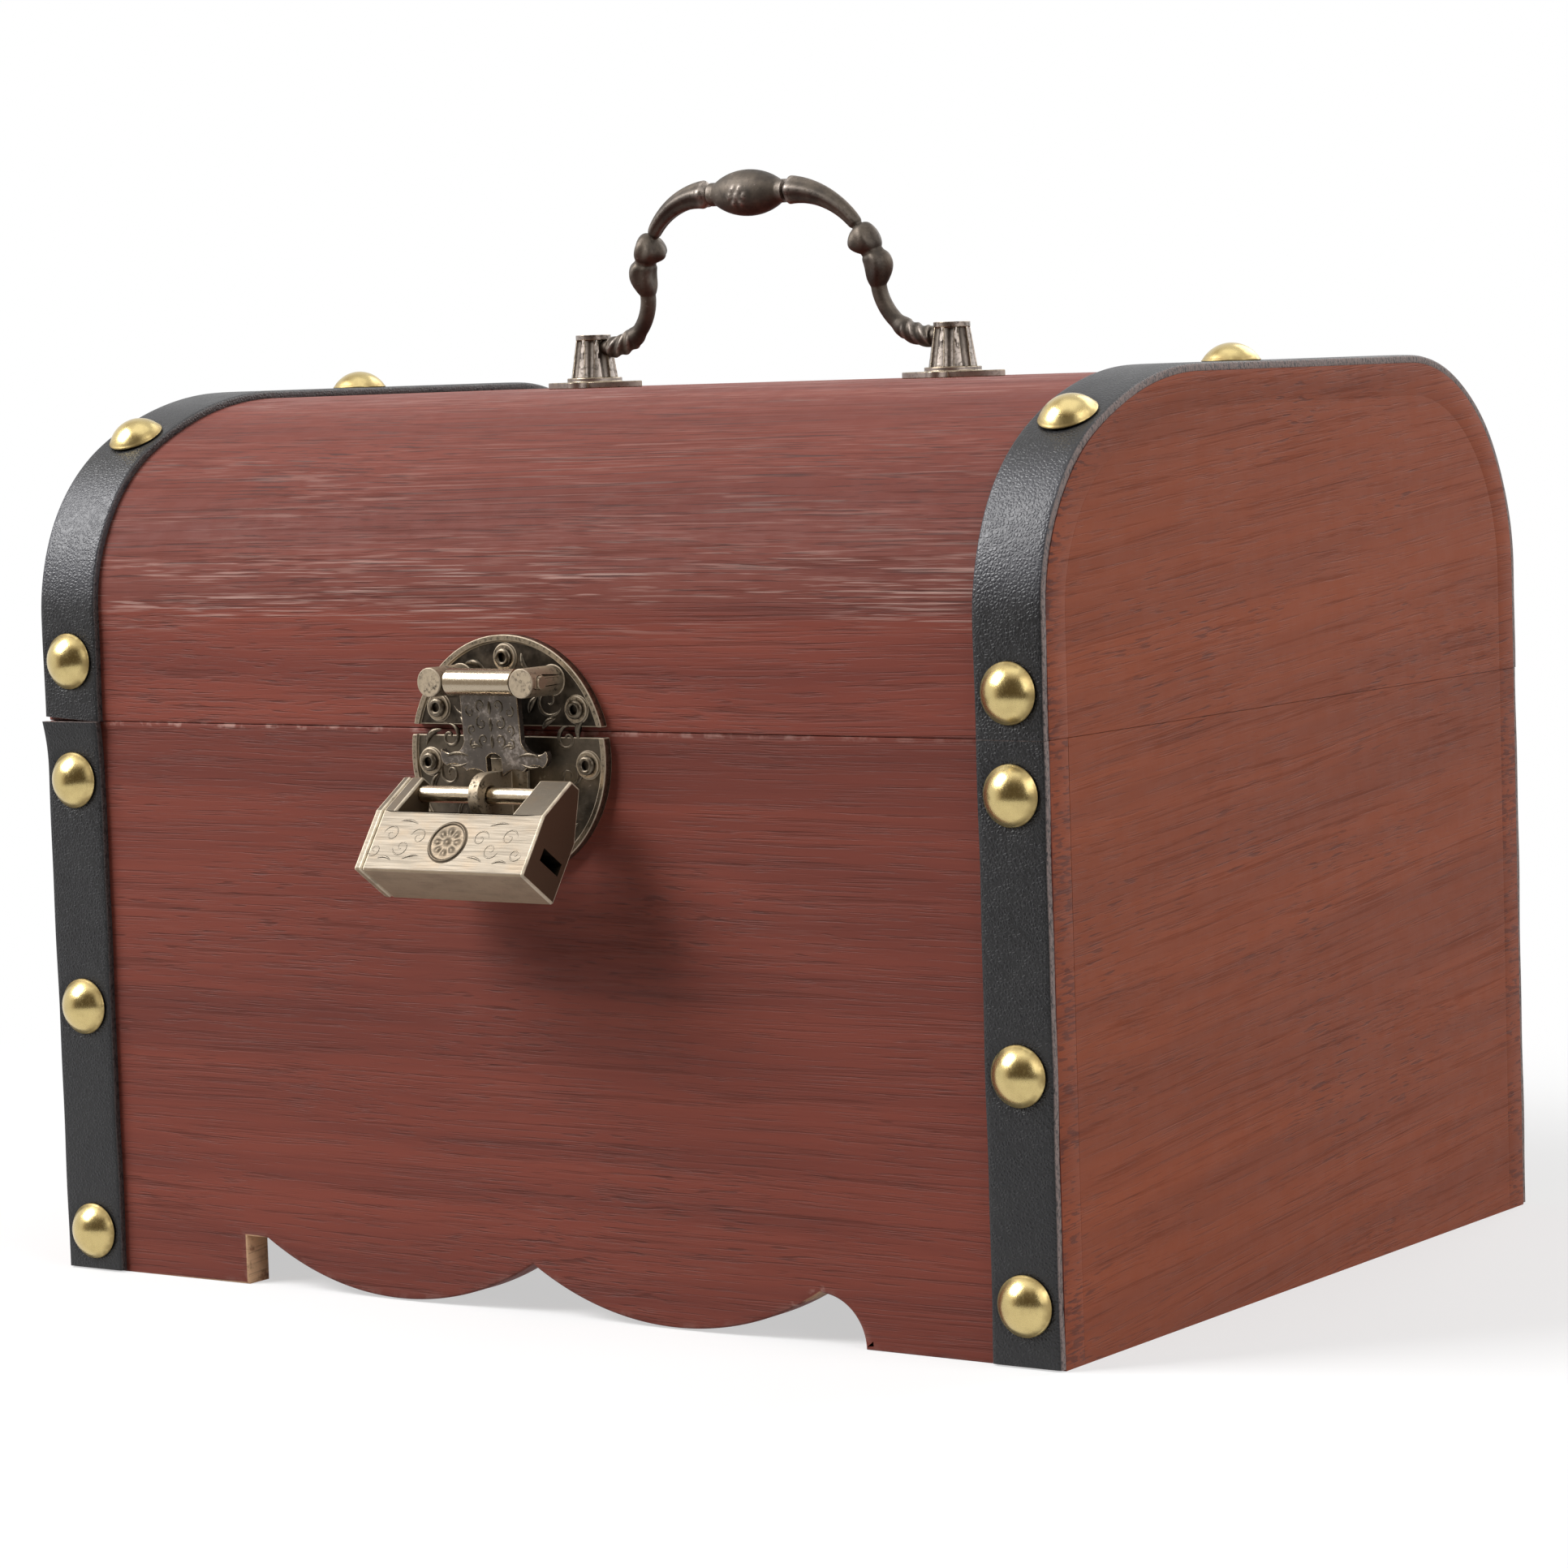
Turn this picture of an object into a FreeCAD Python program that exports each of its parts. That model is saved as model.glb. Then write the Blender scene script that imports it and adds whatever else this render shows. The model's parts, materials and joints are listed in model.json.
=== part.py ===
import FreeCAD, Part
import math
import os
from FreeCAD import Placement, Rotation, Vector

# Chest boards, in millimetres: X along the front, front towards -Y, Z up from the floor
chest_length = 220.0
chest_depth = 171.0
seam_height = 104.0
lid_height = 59.0
board = 6.0
seam_gap = 0.3
glue_gap = 0.05
bottom_board_thickness = 4.0
bottom_board_height = 11.0
groove_depth = 2.5

# Bent lid: a tight bend and a wider crown at the front, one bend at the back
front_bend_radius = 34.5
front_crown_radius = 70.5
front_bend_angle = 60.0
back_bend_radius = 40.0

# Scalloped skirt along the front panel's lower edge
skirt_rise = 9.0
lobe_span = 61.5
lobe_floor_gap = 0.3
notch_width = 5.0

# Leather straps
strap_width = 13.5
strap_thickness = 1.5
strap_floor_gap = 0.3

# Dome nails, set by hand, so the two straps differ a little
nail_head_diameter = 10.5
nail_head_height = 3.2
nail_shank_diameter = 1.8
nail_depth = 3.0
nail_clearance = 0.05
left_foot_nail = 7.5
right_foot_nail = 10.5
left_rim_nail = 11.0
right_rim_nail = 9.0
right_middle_nail_drop = 4.0
left_lid_nail = 11.0
right_lid_nail = 7.5
corner_nail_angle = 63.0
back_corner_nail_angle = 45.0
left_top_nail = 1.5
right_top_nail = -10.0

# Butt hinges on the back
hinge_spacing = 120.0
leaf_width = 24.0
leaf_height = 13.0
leaf_thickness = 1.0
knuckle_radius = 1.8
knuckle_count = 5
knuckle_gap = 0.3
hinge_pin_diameter = 1.8
hinge_pin_overhang = 0.5
leaf_screw_spread = 15.0
leaf_screw_drop = 8.0

# Small screws and pins that hold the fittings
screw_head_diameter = 3.4
screw_head_height = 0.8
screw_shank_diameter = 1.5
screw_depth = 4.0
screw_clearance = 0.05

# Round latch plate, split along the seam
plate_radius = 21.4
plate_centre_drop = 4.5
plate_thickness = 1.4
plate_rim_width = 1.1
plate_rim_height = 0.5
plate_split = 1.8
boss_diameter = 4.8
boss_height = 0.5
pin_edge_distance = 4.0
upper_pin_angles = (29.0, 90.0, 151.0)
lower_pin_angles = (-4.0, 184.0, 270.0)
pin_shank_diameter = 2.4
pin_hollow_diameter = 1.5
pin_hollow_depth = 1.6

# Hasp, with its two posts and hinge pin on the upper plate
lug_diameter = 5.2
lug_spacing = 20.2
lug_tip = 2.5
hasp_pin_reach = 8.0
hasp_pin_rise = 9.0
hasp_pin_diameter = 2.4
hasp_pin_overhang = 0.3
hasp_side_gap = 0.2
hasp_width = 12.6
hasp_thickness = 1.4
hasp_length = 16.9
hasp_lean = 5.0
wing_span = 23.0
wing_drop = 12.2
wing_height = 3.0
wing_shoulder = 1.0
wing_tip_bulge = 0.3
wing_hollow = 0.4
slot_clearance = 0.5
hasp_slot_depth = 3.3
hasp_heel_hollow = 0.5
pin_clearance = 0.05

# Staple with the eye that the padlock hangs from
eye_radius = 4.0
eye_thickness = 2.2
eye_drop = 10.8
eye_clearance = 0.25
staple_foot_width = 9.0
staple_foot_height = 12.0
staple_foot_thickness = 0.8

# Padlock: a house-shaped case with a sliding bolt
lock_length = 37.0
lock_width = 10.4
lock_wall_height = 11.9
lock_roof_height = 8.95
lock_ridge_width = 2.8
lock_ridge_rise = 2.6
lock_edge_radius = 0.5
lock_lean = 35.0
left_ear = 4.45
right_ear = 6.9
recess_depth = 1.0
recess_lip = 0.9
bar_diameter = 3.0
bar_seat_depth = 4.0
slide_clearance = 0.1
bolt_plate_thickness = 1.6
bolt_gap = 0.2
lock_wall_gap = 0.3
stem_width = 4.4
stem_thickness = 1.4
stem_end_gap = 4.5
mouth_wall = 2.6
mouth_height = 3.0
chamber_width = 5.2
chamber_height = 7.6
lock_end_wall = 3.0
key_slot_length = 5.8
key_slot_height = 2.4
key_slot_offset = 0.7
spring_thickness = 0.4
spring_seat = 3.0
spring_spread = 2.9
spring_wall_gap = 0.5

# Carrying handle on the lid
handle_spacing = 82.0
handle_forward = 2.8
foot_plate_length = 22.5
foot_plate_width = 11.0
foot_plate_lobe = 4.4
foot_plate_thickness = 1.2
collar_lip = 0.8
collar_height = 0.8
post_bottom_diameter = 9.0
post_top_diameter = 6.7
post_height = 10.2
post_cap_height = 0.9
flute_count = 8
flute_radius = 1.1
flute_stand_off = 0.45
handle_pivot_height = 7.7
handle_pin_diameter = 3.0
handle_end_gap = 0.3
handle_screw_diameter = 3.0
handle_screw_head_diameter = 6.4
handle_screw_head_height = 1.8
handle_screw_reach = 3.6
bail_rise = 28.3
bail_shoulder_radius = 16.5
bail_foot_radius = 10.5
bail_lean = 10.0
bead_radius = 4.35
bead_length = 16.4
bead_neck_radius = 2.2
arm_lip_gap = 1.4
arm_lip_radius = 3.2
arm_radius = 1.6
knob_radius = 3.4
knob_angle = 24.3
knob_inset = 0.6
bud_radius = 2.8
bud_length = 8.6
bud_end_radius = 1.3
bud_angle = 7.0
bud_outset = 0.9
rope_radius = 1.9
waist_radius = 1.5

# Spare length of a cutting tool past the face that it cuts
cut_spare = 1.0

half_length = chest_length / 2
half_depth = chest_depth / 2
chest_height = seam_height + lid_height
lid_floor = seam_height + seam_gap
hinge_y = half_depth + knuckle_radius + knuckle_gap
hinge_z = seam_height + seam_gap / 2
plate_z = seam_height - plate_centre_drop
plate_face = -half_depth - plate_thickness
strap_x = half_length - strap_width / 2
nail_hole_radius = nail_shank_diameter / 2 + nail_clearance
screw_hole_radius = screw_shank_diameter / 2 + screw_clearance
pin_hole_radius = pin_shank_diameter / 2 + screw_clearance
pin_circle_radius = plate_radius - pin_edge_distance
pin_stack = plate_thickness + boss_height + screw_head_height
eye_reach = pin_stack + lock_wall_gap + lock_width / 2
eye_centre = Vector(0, -half_depth - eye_reach, seam_height - eye_drop)
hasp_pin_centre = Vector(0, -half_depth - hasp_pin_reach, seam_height + hasp_pin_rise)
handle_pivot = Vector(0, -handle_forward, chest_height + handle_pivot_height)
forward = Vector(0, -1, 0)
backward = Vector(0, 1, 0)
upward = Vector(0, 0, 1)
sideways = Vector(1, 0, 0)


# Shared shape helpers

def block(x, y, z):
    """Box between the low and high limits given for each axis."""
    return Part.makeBox(x[1] - x[0], y[1] - y[0], z[1] - z[0], Vector(x[0], y[0], z[0]))


def across(width):
    """Limits of a width that is centred on zero."""
    return -width / 2, width / 2


def rod(start, end, radius):
    """Round bar between two points."""
    axis = end - start
    return Part.makeCylinder(radius, axis.Length, start, axis)


def line(start, end):
    return Part.LineSegment(start, end).toShape()


def arc(start, middle, end):
    return Part.Arc(start, middle, end).toShape()


def polygon(points):
    """Straight edges that close a row of points."""
    return [line(a, b) for a, b in zip(points, points[1:] + points[:1])]


def prism(edges, along):
    """Solid that a closed outline sweeps along a vector."""
    return Part.Face(Part.Wire(edges)).extrude(along)


def fuse(shapes):
    """One solid from overlapping shapes, with the split faces merged."""
    return shapes[0].fuse(shapes[1:]).removeSplitter()


def drilled(shape, seats, radius, depth):
    """Shape with a round hole at each seat, a point and an outward direction."""
    holes = [rod(point + direction, point - direction * depth, radius) for point, direction in seats]
    return shape.cut(holes)


def placed(shape, point, direction):
    """Shape that was built along +Z, stood on a point along a direction."""
    copy = shape.copy()
    copy.Placement = Placement(point, Rotation(upward, direction)).multiply(shape.Placement)
    return copy


def domed_pin(head_diameter, head_height, shank_diameter, shank_length):
    """Domed head on the XY plane, a slice of a sphere, with a shank below it."""
    head = head_diameter / 2
    sphere = (head ** 2 + head_height ** 2) / (2 * head_height)
    rim_latitude = math.degrees(math.asin((sphere - head_height) / sphere))
    dome = Part.makeSphere(sphere, Vector(0, 0, head_height - sphere), upward, rim_latitude, 90, 360)
    return fuse([dome, rod(Vector(0, 0, 0), Vector(0, 0, -shank_length), shank_diameter / 2)])


def group(template, seats):
    """The same piece stood on every seat, as separate solids."""
    return Part.makeCompound([placed(template, point, direction) for point, direction in seats])


# Lid outline

bend_lean = math.radians(front_bend_angle)
front_rise = front_bend_radius * math.sin(bend_lean) + front_crown_radius * (1 - math.sin(bend_lean))
front_bend_centre = Vector(0, front_bend_radius - half_depth, chest_height - front_rise)
crown_step = front_crown_radius - front_bend_radius
front_crown_centre = front_bend_centre + Vector(0, math.cos(bend_lean), -math.sin(bend_lean)) * crown_step
back_bend_centre = Vector(0, half_depth - back_bend_radius, chest_height - back_bend_radius)


def front_normal(angle):
    """Outward direction of the lid's front bend, angle degrees up from level."""
    return Vector(0, -math.cos(math.radians(angle)), math.sin(math.radians(angle)))


def back_normal(angle):
    return Vector(0, math.cos(math.radians(angle)), math.sin(math.radians(angle)))


def front_bend(angle, proud):
    return front_bend_centre + front_normal(angle) * (front_bend_radius + proud)


def front_crown(angle, proud):
    return front_crown_centre + front_normal(angle) * (front_crown_radius + proud)


def back_bend(angle, proud):
    return back_bend_centre + back_normal(angle) * (back_bend_radius + proud)


def arch(proud):
    """Edges over the lid from its front foot to its back foot, standing proud of the wood's outer face."""
    split = front_bend_angle
    front_foot = Vector(0, -half_depth - proud, lid_floor)
    back_foot = Vector(0, half_depth + proud, lid_floor)
    return [
        line(front_foot, front_bend(0, proud)),
        arc(front_bend(0, proud), front_bend(split / 2, proud), front_bend(split, proud)),
        arc(front_crown(split, proud), front_crown((split + 90) / 2, proud), front_crown(90, proud)),
        line(front_crown(90, proud), back_bend(90, proud)),
        arc(back_bend(90, proud), back_bend(45, proud), back_bend(0, proud)),
        line(back_bend(0, proud), back_foot),
    ]


def arch_prism(proud, x):
    """Solid under the arch between two X limits."""
    edges = arch(proud)
    edges.append(line(Vector(0, half_depth + proud, lid_floor), Vector(0, -half_depth - proud, lid_floor)))
    solid = prism(edges, Vector(x[1] - x[0], 0, 0))
    solid.translate(Vector(x[0], 0, 0))
    return solid


# Seats of nails, screws and pins: a point and an outward direction

def strap_seats(x, foot, rim, middle_drop):
    """Three nails on the front and three on the back of one side's body straps."""
    high = seam_height - rim
    heights = (foot, (foot + high) / 2 - middle_drop, high)
    face = half_depth + strap_thickness
    front = [(Vector(x, -face, z), forward) for z in heights]
    back = [(Vector(x, face, z), backward) for z in heights]
    return front, back


def lid_seats(x, rise, top_y):
    """Five nails over one lid strap, from the front edge to the back edge."""
    face = half_depth + strap_thickness
    across = Vector(x, 0, 0)
    low = lid_floor + rise
    return [
        (Vector(x, -face, low), forward),
        (front_crown(corner_nail_angle, strap_thickness) + across, front_normal(corner_nail_angle)),
        (Vector(x, top_y, chest_height + strap_thickness), upward),
        (back_bend(back_corner_nail_angle, strap_thickness) + across, back_normal(back_corner_nail_angle)),
        (Vector(x, face, low), backward),
    ]


def latch_seats(angles):
    """Ring bosses of the latch plate, on a circle about its centre."""
    seats = []
    for angle in angles:
        x = pin_circle_radius * math.cos(math.radians(angle))
        z = plate_z + pin_circle_radius * math.sin(math.radians(angle))
        seats.append((Vector(x, plate_face - boss_height, z), forward))
    return seats


def leaf_seats(x, side):
    """Two screws of a hinge leaf, below the axis for side -1 and above it for side 1."""
    z = hinge_z + side * leaf_screw_drop
    face = half_depth + leaf_thickness
    return [(Vector(x + side_x * leaf_screw_spread / 2, face, z), backward) for side_x in (-1, 1)]


left_front_seats, left_back_seats = strap_seats(-strap_x, left_foot_nail, left_rim_nail, 0)
right_front_seats, right_back_seats = strap_seats(strap_x, right_foot_nail, right_rim_nail,
                                                  right_middle_nail_drop)
body_nail_seats = left_front_seats + right_front_seats + left_back_seats + right_back_seats
left_lid_seats = lid_seats(-strap_x, left_lid_nail, left_top_nail)
right_lid_seats = lid_seats(strap_x, right_lid_nail, right_top_nail)
upper_pin_seats = latch_seats(upper_pin_angles)
lower_pin_seats = latch_seats(lower_pin_angles)
hinge_centres = (-hinge_spacing / 2, hinge_spacing / 2)
body_leaf_seats = leaf_seats(hinge_centres[0], -1) + leaf_seats(hinge_centres[1], -1)
lid_leaf_seats = leaf_seats(hinge_centres[0], 1) + leaf_seats(hinge_centres[1], 1)
post_centres = (-handle_spacing / 2, handle_spacing / 2)
nail_reach = strap_thickness + nail_depth
latch_pin_reach = boss_height + plate_thickness + screw_depth
leaf_screw_reach = leaf_thickness + screw_depth


# Chest body

def bottom_board():
    inner_x = half_length - board + groove_depth
    inner_y = half_depth - board + groove_depth
    low = bottom_board_height
    return block((-inner_x, inner_x), (-inner_y, inner_y), (low, low + bottom_board_thickness))


def front_panel():
    """Front board: a square notch at the left foot, two lobes, and a rounded shoulder at the right foot."""
    def at(x, z):
        return Vector(x, -half_depth, z)

    left_foot = -lobe_span - notch_width
    right_foot = lobe_span + skirt_rise
    shoulder = skirt_rise * math.sqrt(0.5)
    outline = [
        line(at(-half_length, 0), at(left_foot, 0)),
        line(at(left_foot, 0), at(left_foot, skirt_rise)),
        line(at(left_foot, skirt_rise), at(-lobe_span, skirt_rise)),
        arc(at(-lobe_span, skirt_rise), at(-lobe_span / 2, lobe_floor_gap), at(0, skirt_rise)),
        arc(at(0, skirt_rise), at(lobe_span / 2, lobe_floor_gap), at(lobe_span, skirt_rise)),
        arc(at(lobe_span, skirt_rise), at(lobe_span + shoulder, shoulder), at(right_foot, 0)),
        line(at(right_foot, 0), at(half_length, 0)),
        line(at(half_length, 0), at(half_length, seam_height)),
        line(at(half_length, seam_height), at(-half_length, seam_height)),
        line(at(-half_length, seam_height), at(-half_length, 0)),
    ]
    panel = prism(outline, backward * board).cut(bottom_board())
    panel = drilled(panel, left_front_seats + right_front_seats, nail_hole_radius, nail_reach)
    return drilled(panel, lower_pin_seats, pin_hole_radius, latch_pin_reach)


def back_panel():
    panel = block((-half_length, half_length), (half_depth - board, half_depth), (0, seam_height))
    panel = panel.cut(bottom_board())
    panel = drilled(panel, left_back_seats + right_back_seats, nail_hole_radius, nail_reach)
    return drilled(panel, body_leaf_seats, screw_hole_radius, leaf_screw_reach)


def side_panel(side):
    """End board between the front and back panels, on the left for -1 and the right for 1."""
    outer = side * half_length
    inner = side * (half_length - board)
    inner_y = half_depth - board
    panel = block((min(inner, outer), max(inner, outer)), (-inner_y, inner_y), (0, seam_height))
    return panel.cut(bottom_board())


def strap_limits(side):
    """X limits of the straps at one end of the chest."""
    inner = side * (half_length - strap_width)
    return min(inner, side * half_length), max(inner, side * half_length)


def body_strap(side, face, seats):
    """Upright strap on the front for face -1 or the back for face 1."""
    near = face * half_depth
    far = face * (half_depth + strap_thickness)
    strap = block(strap_limits(side), (min(near, far), max(near, far)), (strap_floor_gap, seam_height))
    return drilled(strap, seats, nail_hole_radius, nail_reach)


# Lid

def lid_skin():
    """Bent board over the lid, open below and at both ends."""
    inner_x = half_length + board
    skin = arch_prism(0, (-half_length, half_length)).cut(arch_prism(-board, (-inner_x, inner_x)))
    skin = drilled(skin, left_lid_seats + right_lid_seats, nail_hole_radius, nail_reach)
    skin = drilled(skin, upper_pin_seats, pin_hole_radius, latch_pin_reach)
    skin = drilled(skin, lid_leaf_seats, screw_hole_radius, leaf_screw_reach)
    hole = handle_screw_diameter / 2 + screw_clearance
    post_seats = [(Vector(x, -handle_forward, chest_height), upward) for x in post_centres]
    return drilled(skin, post_seats, hole, 2 * board)


def lid_end(side):
    """Rounded board that closes one end of the lid inside the bent skin."""
    inner = side * (half_length - board)
    outer = side * half_length
    return arch_prism(-board - glue_gap, (min(inner, outer), max(inner, outer)))


def lid_strap(side, seats):
    x = strap_limits(side)
    wide = (x[0] - strap_width, x[1] + strap_width)
    strap = arch_prism(strap_thickness, x).cut(arch_prism(0, wide))
    return drilled(strap, seats, nail_hole_radius, nail_reach)


# Hinges

def hinge_leaf(x, side):
    """Leaf with its knuckles: odd places on the body's leaf, side -1, and even ones on the lid's, side 1."""
    face = (half_depth, half_depth + leaf_thickness)
    near = hinge_z + side * knuckle_gap
    far = hinge_z + side * leaf_height
    leaf = block((x - leaf_width / 2, x + leaf_width / 2), face, (min(near, far), max(near, far)))
    step = leaf_width / knuckle_count
    clear = knuckle_radius + knuckle_gap
    knuckles = []
    notches = []
    for place in range(knuckle_count):
        start = x - leaf_width / 2 + place * step
        if (place % 2 == 0) == (side < 0):
            low = start + knuckle_gap / 2 if place > 0 else start
            high = start + step - knuckle_gap / 2 if place < knuckle_count - 1 else start + step
            ends = [Vector(end, hinge_y, hinge_z) for end in (low, high)]
            knuckles.append(rod(ends[0], ends[1], knuckle_radius))
        else:
            limits = (start - knuckle_gap / 2, start + step + knuckle_gap / 2)
            notches.append(block(limits, (face[0] - cut_spare, hinge_y), (hinge_z - clear, hinge_z + clear)))
    leaf = fuse([leaf.cut(notches)] + knuckles)
    bore = rod(Vector(x - leaf_width, hinge_y, hinge_z), Vector(x + leaf_width, hinge_y, hinge_z),
               hinge_pin_diameter / 2 + pin_clearance)
    return drilled(leaf.cut(bore), leaf_seats(x, side), screw_hole_radius, leaf_screw_reach)


def hinge_pin(x):
    reach = leaf_width / 2 + hinge_pin_overhang
    start = Vector(x - reach, hinge_y, hinge_z)
    return rod(start, start + sideways * (2 * reach), hinge_pin_diameter / 2)


# Latch

def latch_plate(side, seats):
    """Half of the round plate with its raised rim and ring bosses: above the seam for 1, below for -1."""
    wall = Vector(0, -half_depth, plate_z)
    face = Vector(0, plate_face, plate_z)
    rim_face = face + forward * plate_rim_height
    disc = rod(wall, face, plate_radius)
    rim = rod(face, rim_face, plate_radius).cut(rod(face, rim_face, plate_radius - plate_rim_width))
    edge = seam_height + side * plate_split / 2
    far = edge + side * 2 * plate_radius
    heights = (min(edge, far), max(edge, far))
    keep = block(across(2 * plate_radius), (-half_depth - plate_radius, -half_depth), heights)
    bosses = [rod(point, point + backward * boss_height, boss_diameter / 2) for point, direction in seats]
    plate = fuse([disc, rim]).common(keep)
    return drilled(fuse([plate] + bosses), seats, pin_hole_radius, latch_pin_reach)


def hasp_pin_line(reach):
    """Ends of a line along the hasp pin, as far as reach each way."""
    return hasp_pin_centre - sideways * reach, hasp_pin_centre + sideways * reach


def latch_upper_plate():
    """Upper half of the plate with the two posts that carry the hasp pin."""
    plate = latch_plate(1, upper_pin_seats)
    posts = []
    for x in (-lug_spacing / 2, lug_spacing / 2):
        back = Vector(x, plate_face, hasp_pin_centre.z)
        front = Vector(x, hasp_pin_centre.y - lug_tip, hasp_pin_centre.z)
        posts.append(rod(back, front, lug_diameter / 2))
    start, end = hasp_pin_line(lug_spacing)
    return fuse([plate] + posts).cut(rod(start, end, hasp_pin_diameter / 2 + pin_clearance))


def hasp_pin():
    start, end = hasp_pin_line((lug_spacing + lug_diameter) / 2 + hasp_pin_overhang)
    return rod(start, end, hasp_pin_diameter / 2)


def hasp():
    """Flap on the hasp pin: a straight plate with two wings, and a slot that stands over the staple."""
    barrel_radius = lug_diameter / 2 - hasp_side_gap
    half = hasp_width / 2
    tip = wing_span / 2
    slot = eye_thickness / 2 + slot_clearance
    slot_top = hasp_length - hasp_slot_depth
    wing_top = wing_drop - hasp_thickness
    wing_foot = wing_drop + wing_height
    heel = (wing_foot + hasp_length) / 2

    def at(x, drop):
        return hasp_pin_centre + Vector(x, barrel_radius - hasp_thickness, -drop)

    def wing(side):
        """Edges down one side, from the barrel round the wing to the top of the slot."""
        neck = at(side * half, wing_top)
        shoulder = at(side * (half + wing_shoulder), wing_drop)
        tip_top = at(side * tip, wing_drop)
        tip_side = at(side * (tip + wing_tip_bulge), (wing_drop + wing_foot) / 2)
        tip_foot = at(side * (tip - wing_shoulder), wing_foot)
        hollow = at(side * (half + tip) / 2, wing_foot - wing_hollow)
        heel_side = at(side * half, heel)
        heel_hollow = at(side * (half + slot) / 2, wing_foot + hasp_heel_hollow)
        slot_foot = at(side * slot, hasp_length)
        return [
            line(at(side * half, 0), neck),
            arc(neck, shoulder, tip_top),
            arc(tip_top, tip_side, tip_foot),
            arc(tip_foot, hollow, heel_side),
            arc(heel_side, heel_hollow, slot_foot),
            line(slot_foot, at(side * slot, slot_top)),
        ]

    outline = wing(-1) + [arc(at(-slot, slot_top), at(0, slot_top - slot / 2), at(slot, slot_top))]
    outline += wing(1)[::-1] + [line(at(half, 0), at(-half, 0))]
    plate = prism(outline, backward * hasp_thickness)
    start, end = hasp_pin_line((lug_spacing - lug_diameter) / 2 - hasp_side_gap)
    flap = fuse([plate, rod(start, end, barrel_radius)])
    flap = flap.cut(rod(start - sideways, end + sideways, hasp_pin_diameter / 2 + pin_clearance))
    flap.rotate(hasp_pin_centre, sideways, hasp_lean)
    return flap


def latch_staple():
    """Upright tab with the eye for the padlock bar, on a foot against the lower plate."""
    half = eye_thickness / 2
    foot_face = plate_face - staple_foot_thickness
    foot_z = staple_foot_height / 2
    foot_limits = (eye_centre.z - foot_z, eye_centre.z + foot_z)
    tab_limits = (eye_centre.z - eye_radius, eye_centre.z + eye_radius)
    foot = block(across(staple_foot_width), (foot_face, plate_face), foot_limits)
    tab = block(across(eye_thickness), (eye_centre.y, plate_face), tab_limits)
    eye = rod(eye_centre - sideways * half, eye_centre + sideways * half, eye_radius)
    hole = rod(eye_centre - sideways * eye_thickness, eye_centre + sideways * eye_thickness,
               bar_diameter / 2 + eye_clearance)
    return fuse([foot, tab, eye]).cut(hole)


# Padlock, built upright about its bar, then leaned out on the eye

lock_left = -lock_length / 2
lock_right = lock_length / 2
case_left = lock_left + bolt_plate_thickness + bolt_gap
lock_eave = lock_ridge_rise - lock_roof_height
lock_floor = lock_eave - lock_wall_height
lock_middle = (lock_eave + lock_floor) / 2
stem_end = lock_right - lock_end_wall - stem_end_gap


def hung(shape):
    """Padlock piece moved from its own frame to the staple's eye."""
    shape.rotate(Vector(0, 0, 0), sideways, -lock_lean)
    shape.translate(eye_centre)
    return shape


def house(x):
    """House-shaped bar between two X limits, with its long edges rounded."""
    wall = lock_width / 2
    ridge = lock_ridge_width / 2
    corners = [(-wall, lock_floor), (wall, lock_floor), (wall, lock_eave), (ridge, lock_ridge_rise),
               (-ridge, lock_ridge_rise), (-wall, lock_eave)]
    solid = prism(polygon([Vector(x[0], y, z) for y, z in corners]), sideways * (x[1] - x[0]))
    long_edges = [edge for edge in solid.Edges if edge.BoundBox.XLength > lock_edge_radius]
    return solid.makeFillet(lock_edge_radius, long_edges)


def padlock_body():
    """Case with two ears, a recess for the eye, a spring chamber, its mouth and the key slot."""
    case = house((case_left, lock_right))
    recess_x = (lock_left + left_ear, lock_right - right_ear)
    opening = block(recess_x, across(2 * lock_width), (lock_eave, lock_ridge_rise + cut_spare))
    pocket = block(recess_x, across(lock_width - 2 * recess_lip),
                   (lock_eave - recess_depth, lock_eave + cut_spare))
    bar = rod(Vector(lock_left, 0, 0), Vector(lock_right - right_ear + bar_seat_depth + bolt_gap, 0, 0),
              bar_diameter / 2 + slide_clearance)
    chamber = block((case_left + mouth_wall, lock_right - lock_end_wall), across(chamber_width),
                    (lock_middle - chamber_height / 2, lock_middle + chamber_height / 2))
    mouth = block((lock_left, case_left + mouth_wall + cut_spare), across(chamber_width),
                  (lock_middle - mouth_height / 2, lock_middle + mouth_height / 2))
    slot_y = (key_slot_offset - key_slot_length / 2, key_slot_offset + key_slot_length / 2)
    key_slot = block((lock_right - lock_end_wall - cut_spare, lock_right + cut_spare), slot_y,
                     (lock_middle - key_slot_height / 2, lock_middle + key_slot_height / 2))
    return hung(case.cut([opening, pocket, bar, chamber, mouth, key_slot]))


def padlock_bolt():
    """Sliding bolt: the end plate, the bar through the eye and the stem that carries the springs."""
    plate = house((lock_left, lock_left + bolt_plate_thickness))
    bar = rod(Vector(lock_left + bolt_plate_thickness / 2, 0, 0),
              Vector(lock_right - right_ear + bar_seat_depth, 0, 0), bar_diameter / 2)
    stem = block((lock_left + bolt_plate_thickness / 2, stem_end), across(stem_width),
                 (lock_middle - stem_thickness / 2, lock_middle + stem_thickness / 2))
    return hung(fuse([plate, bar, stem]))


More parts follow.
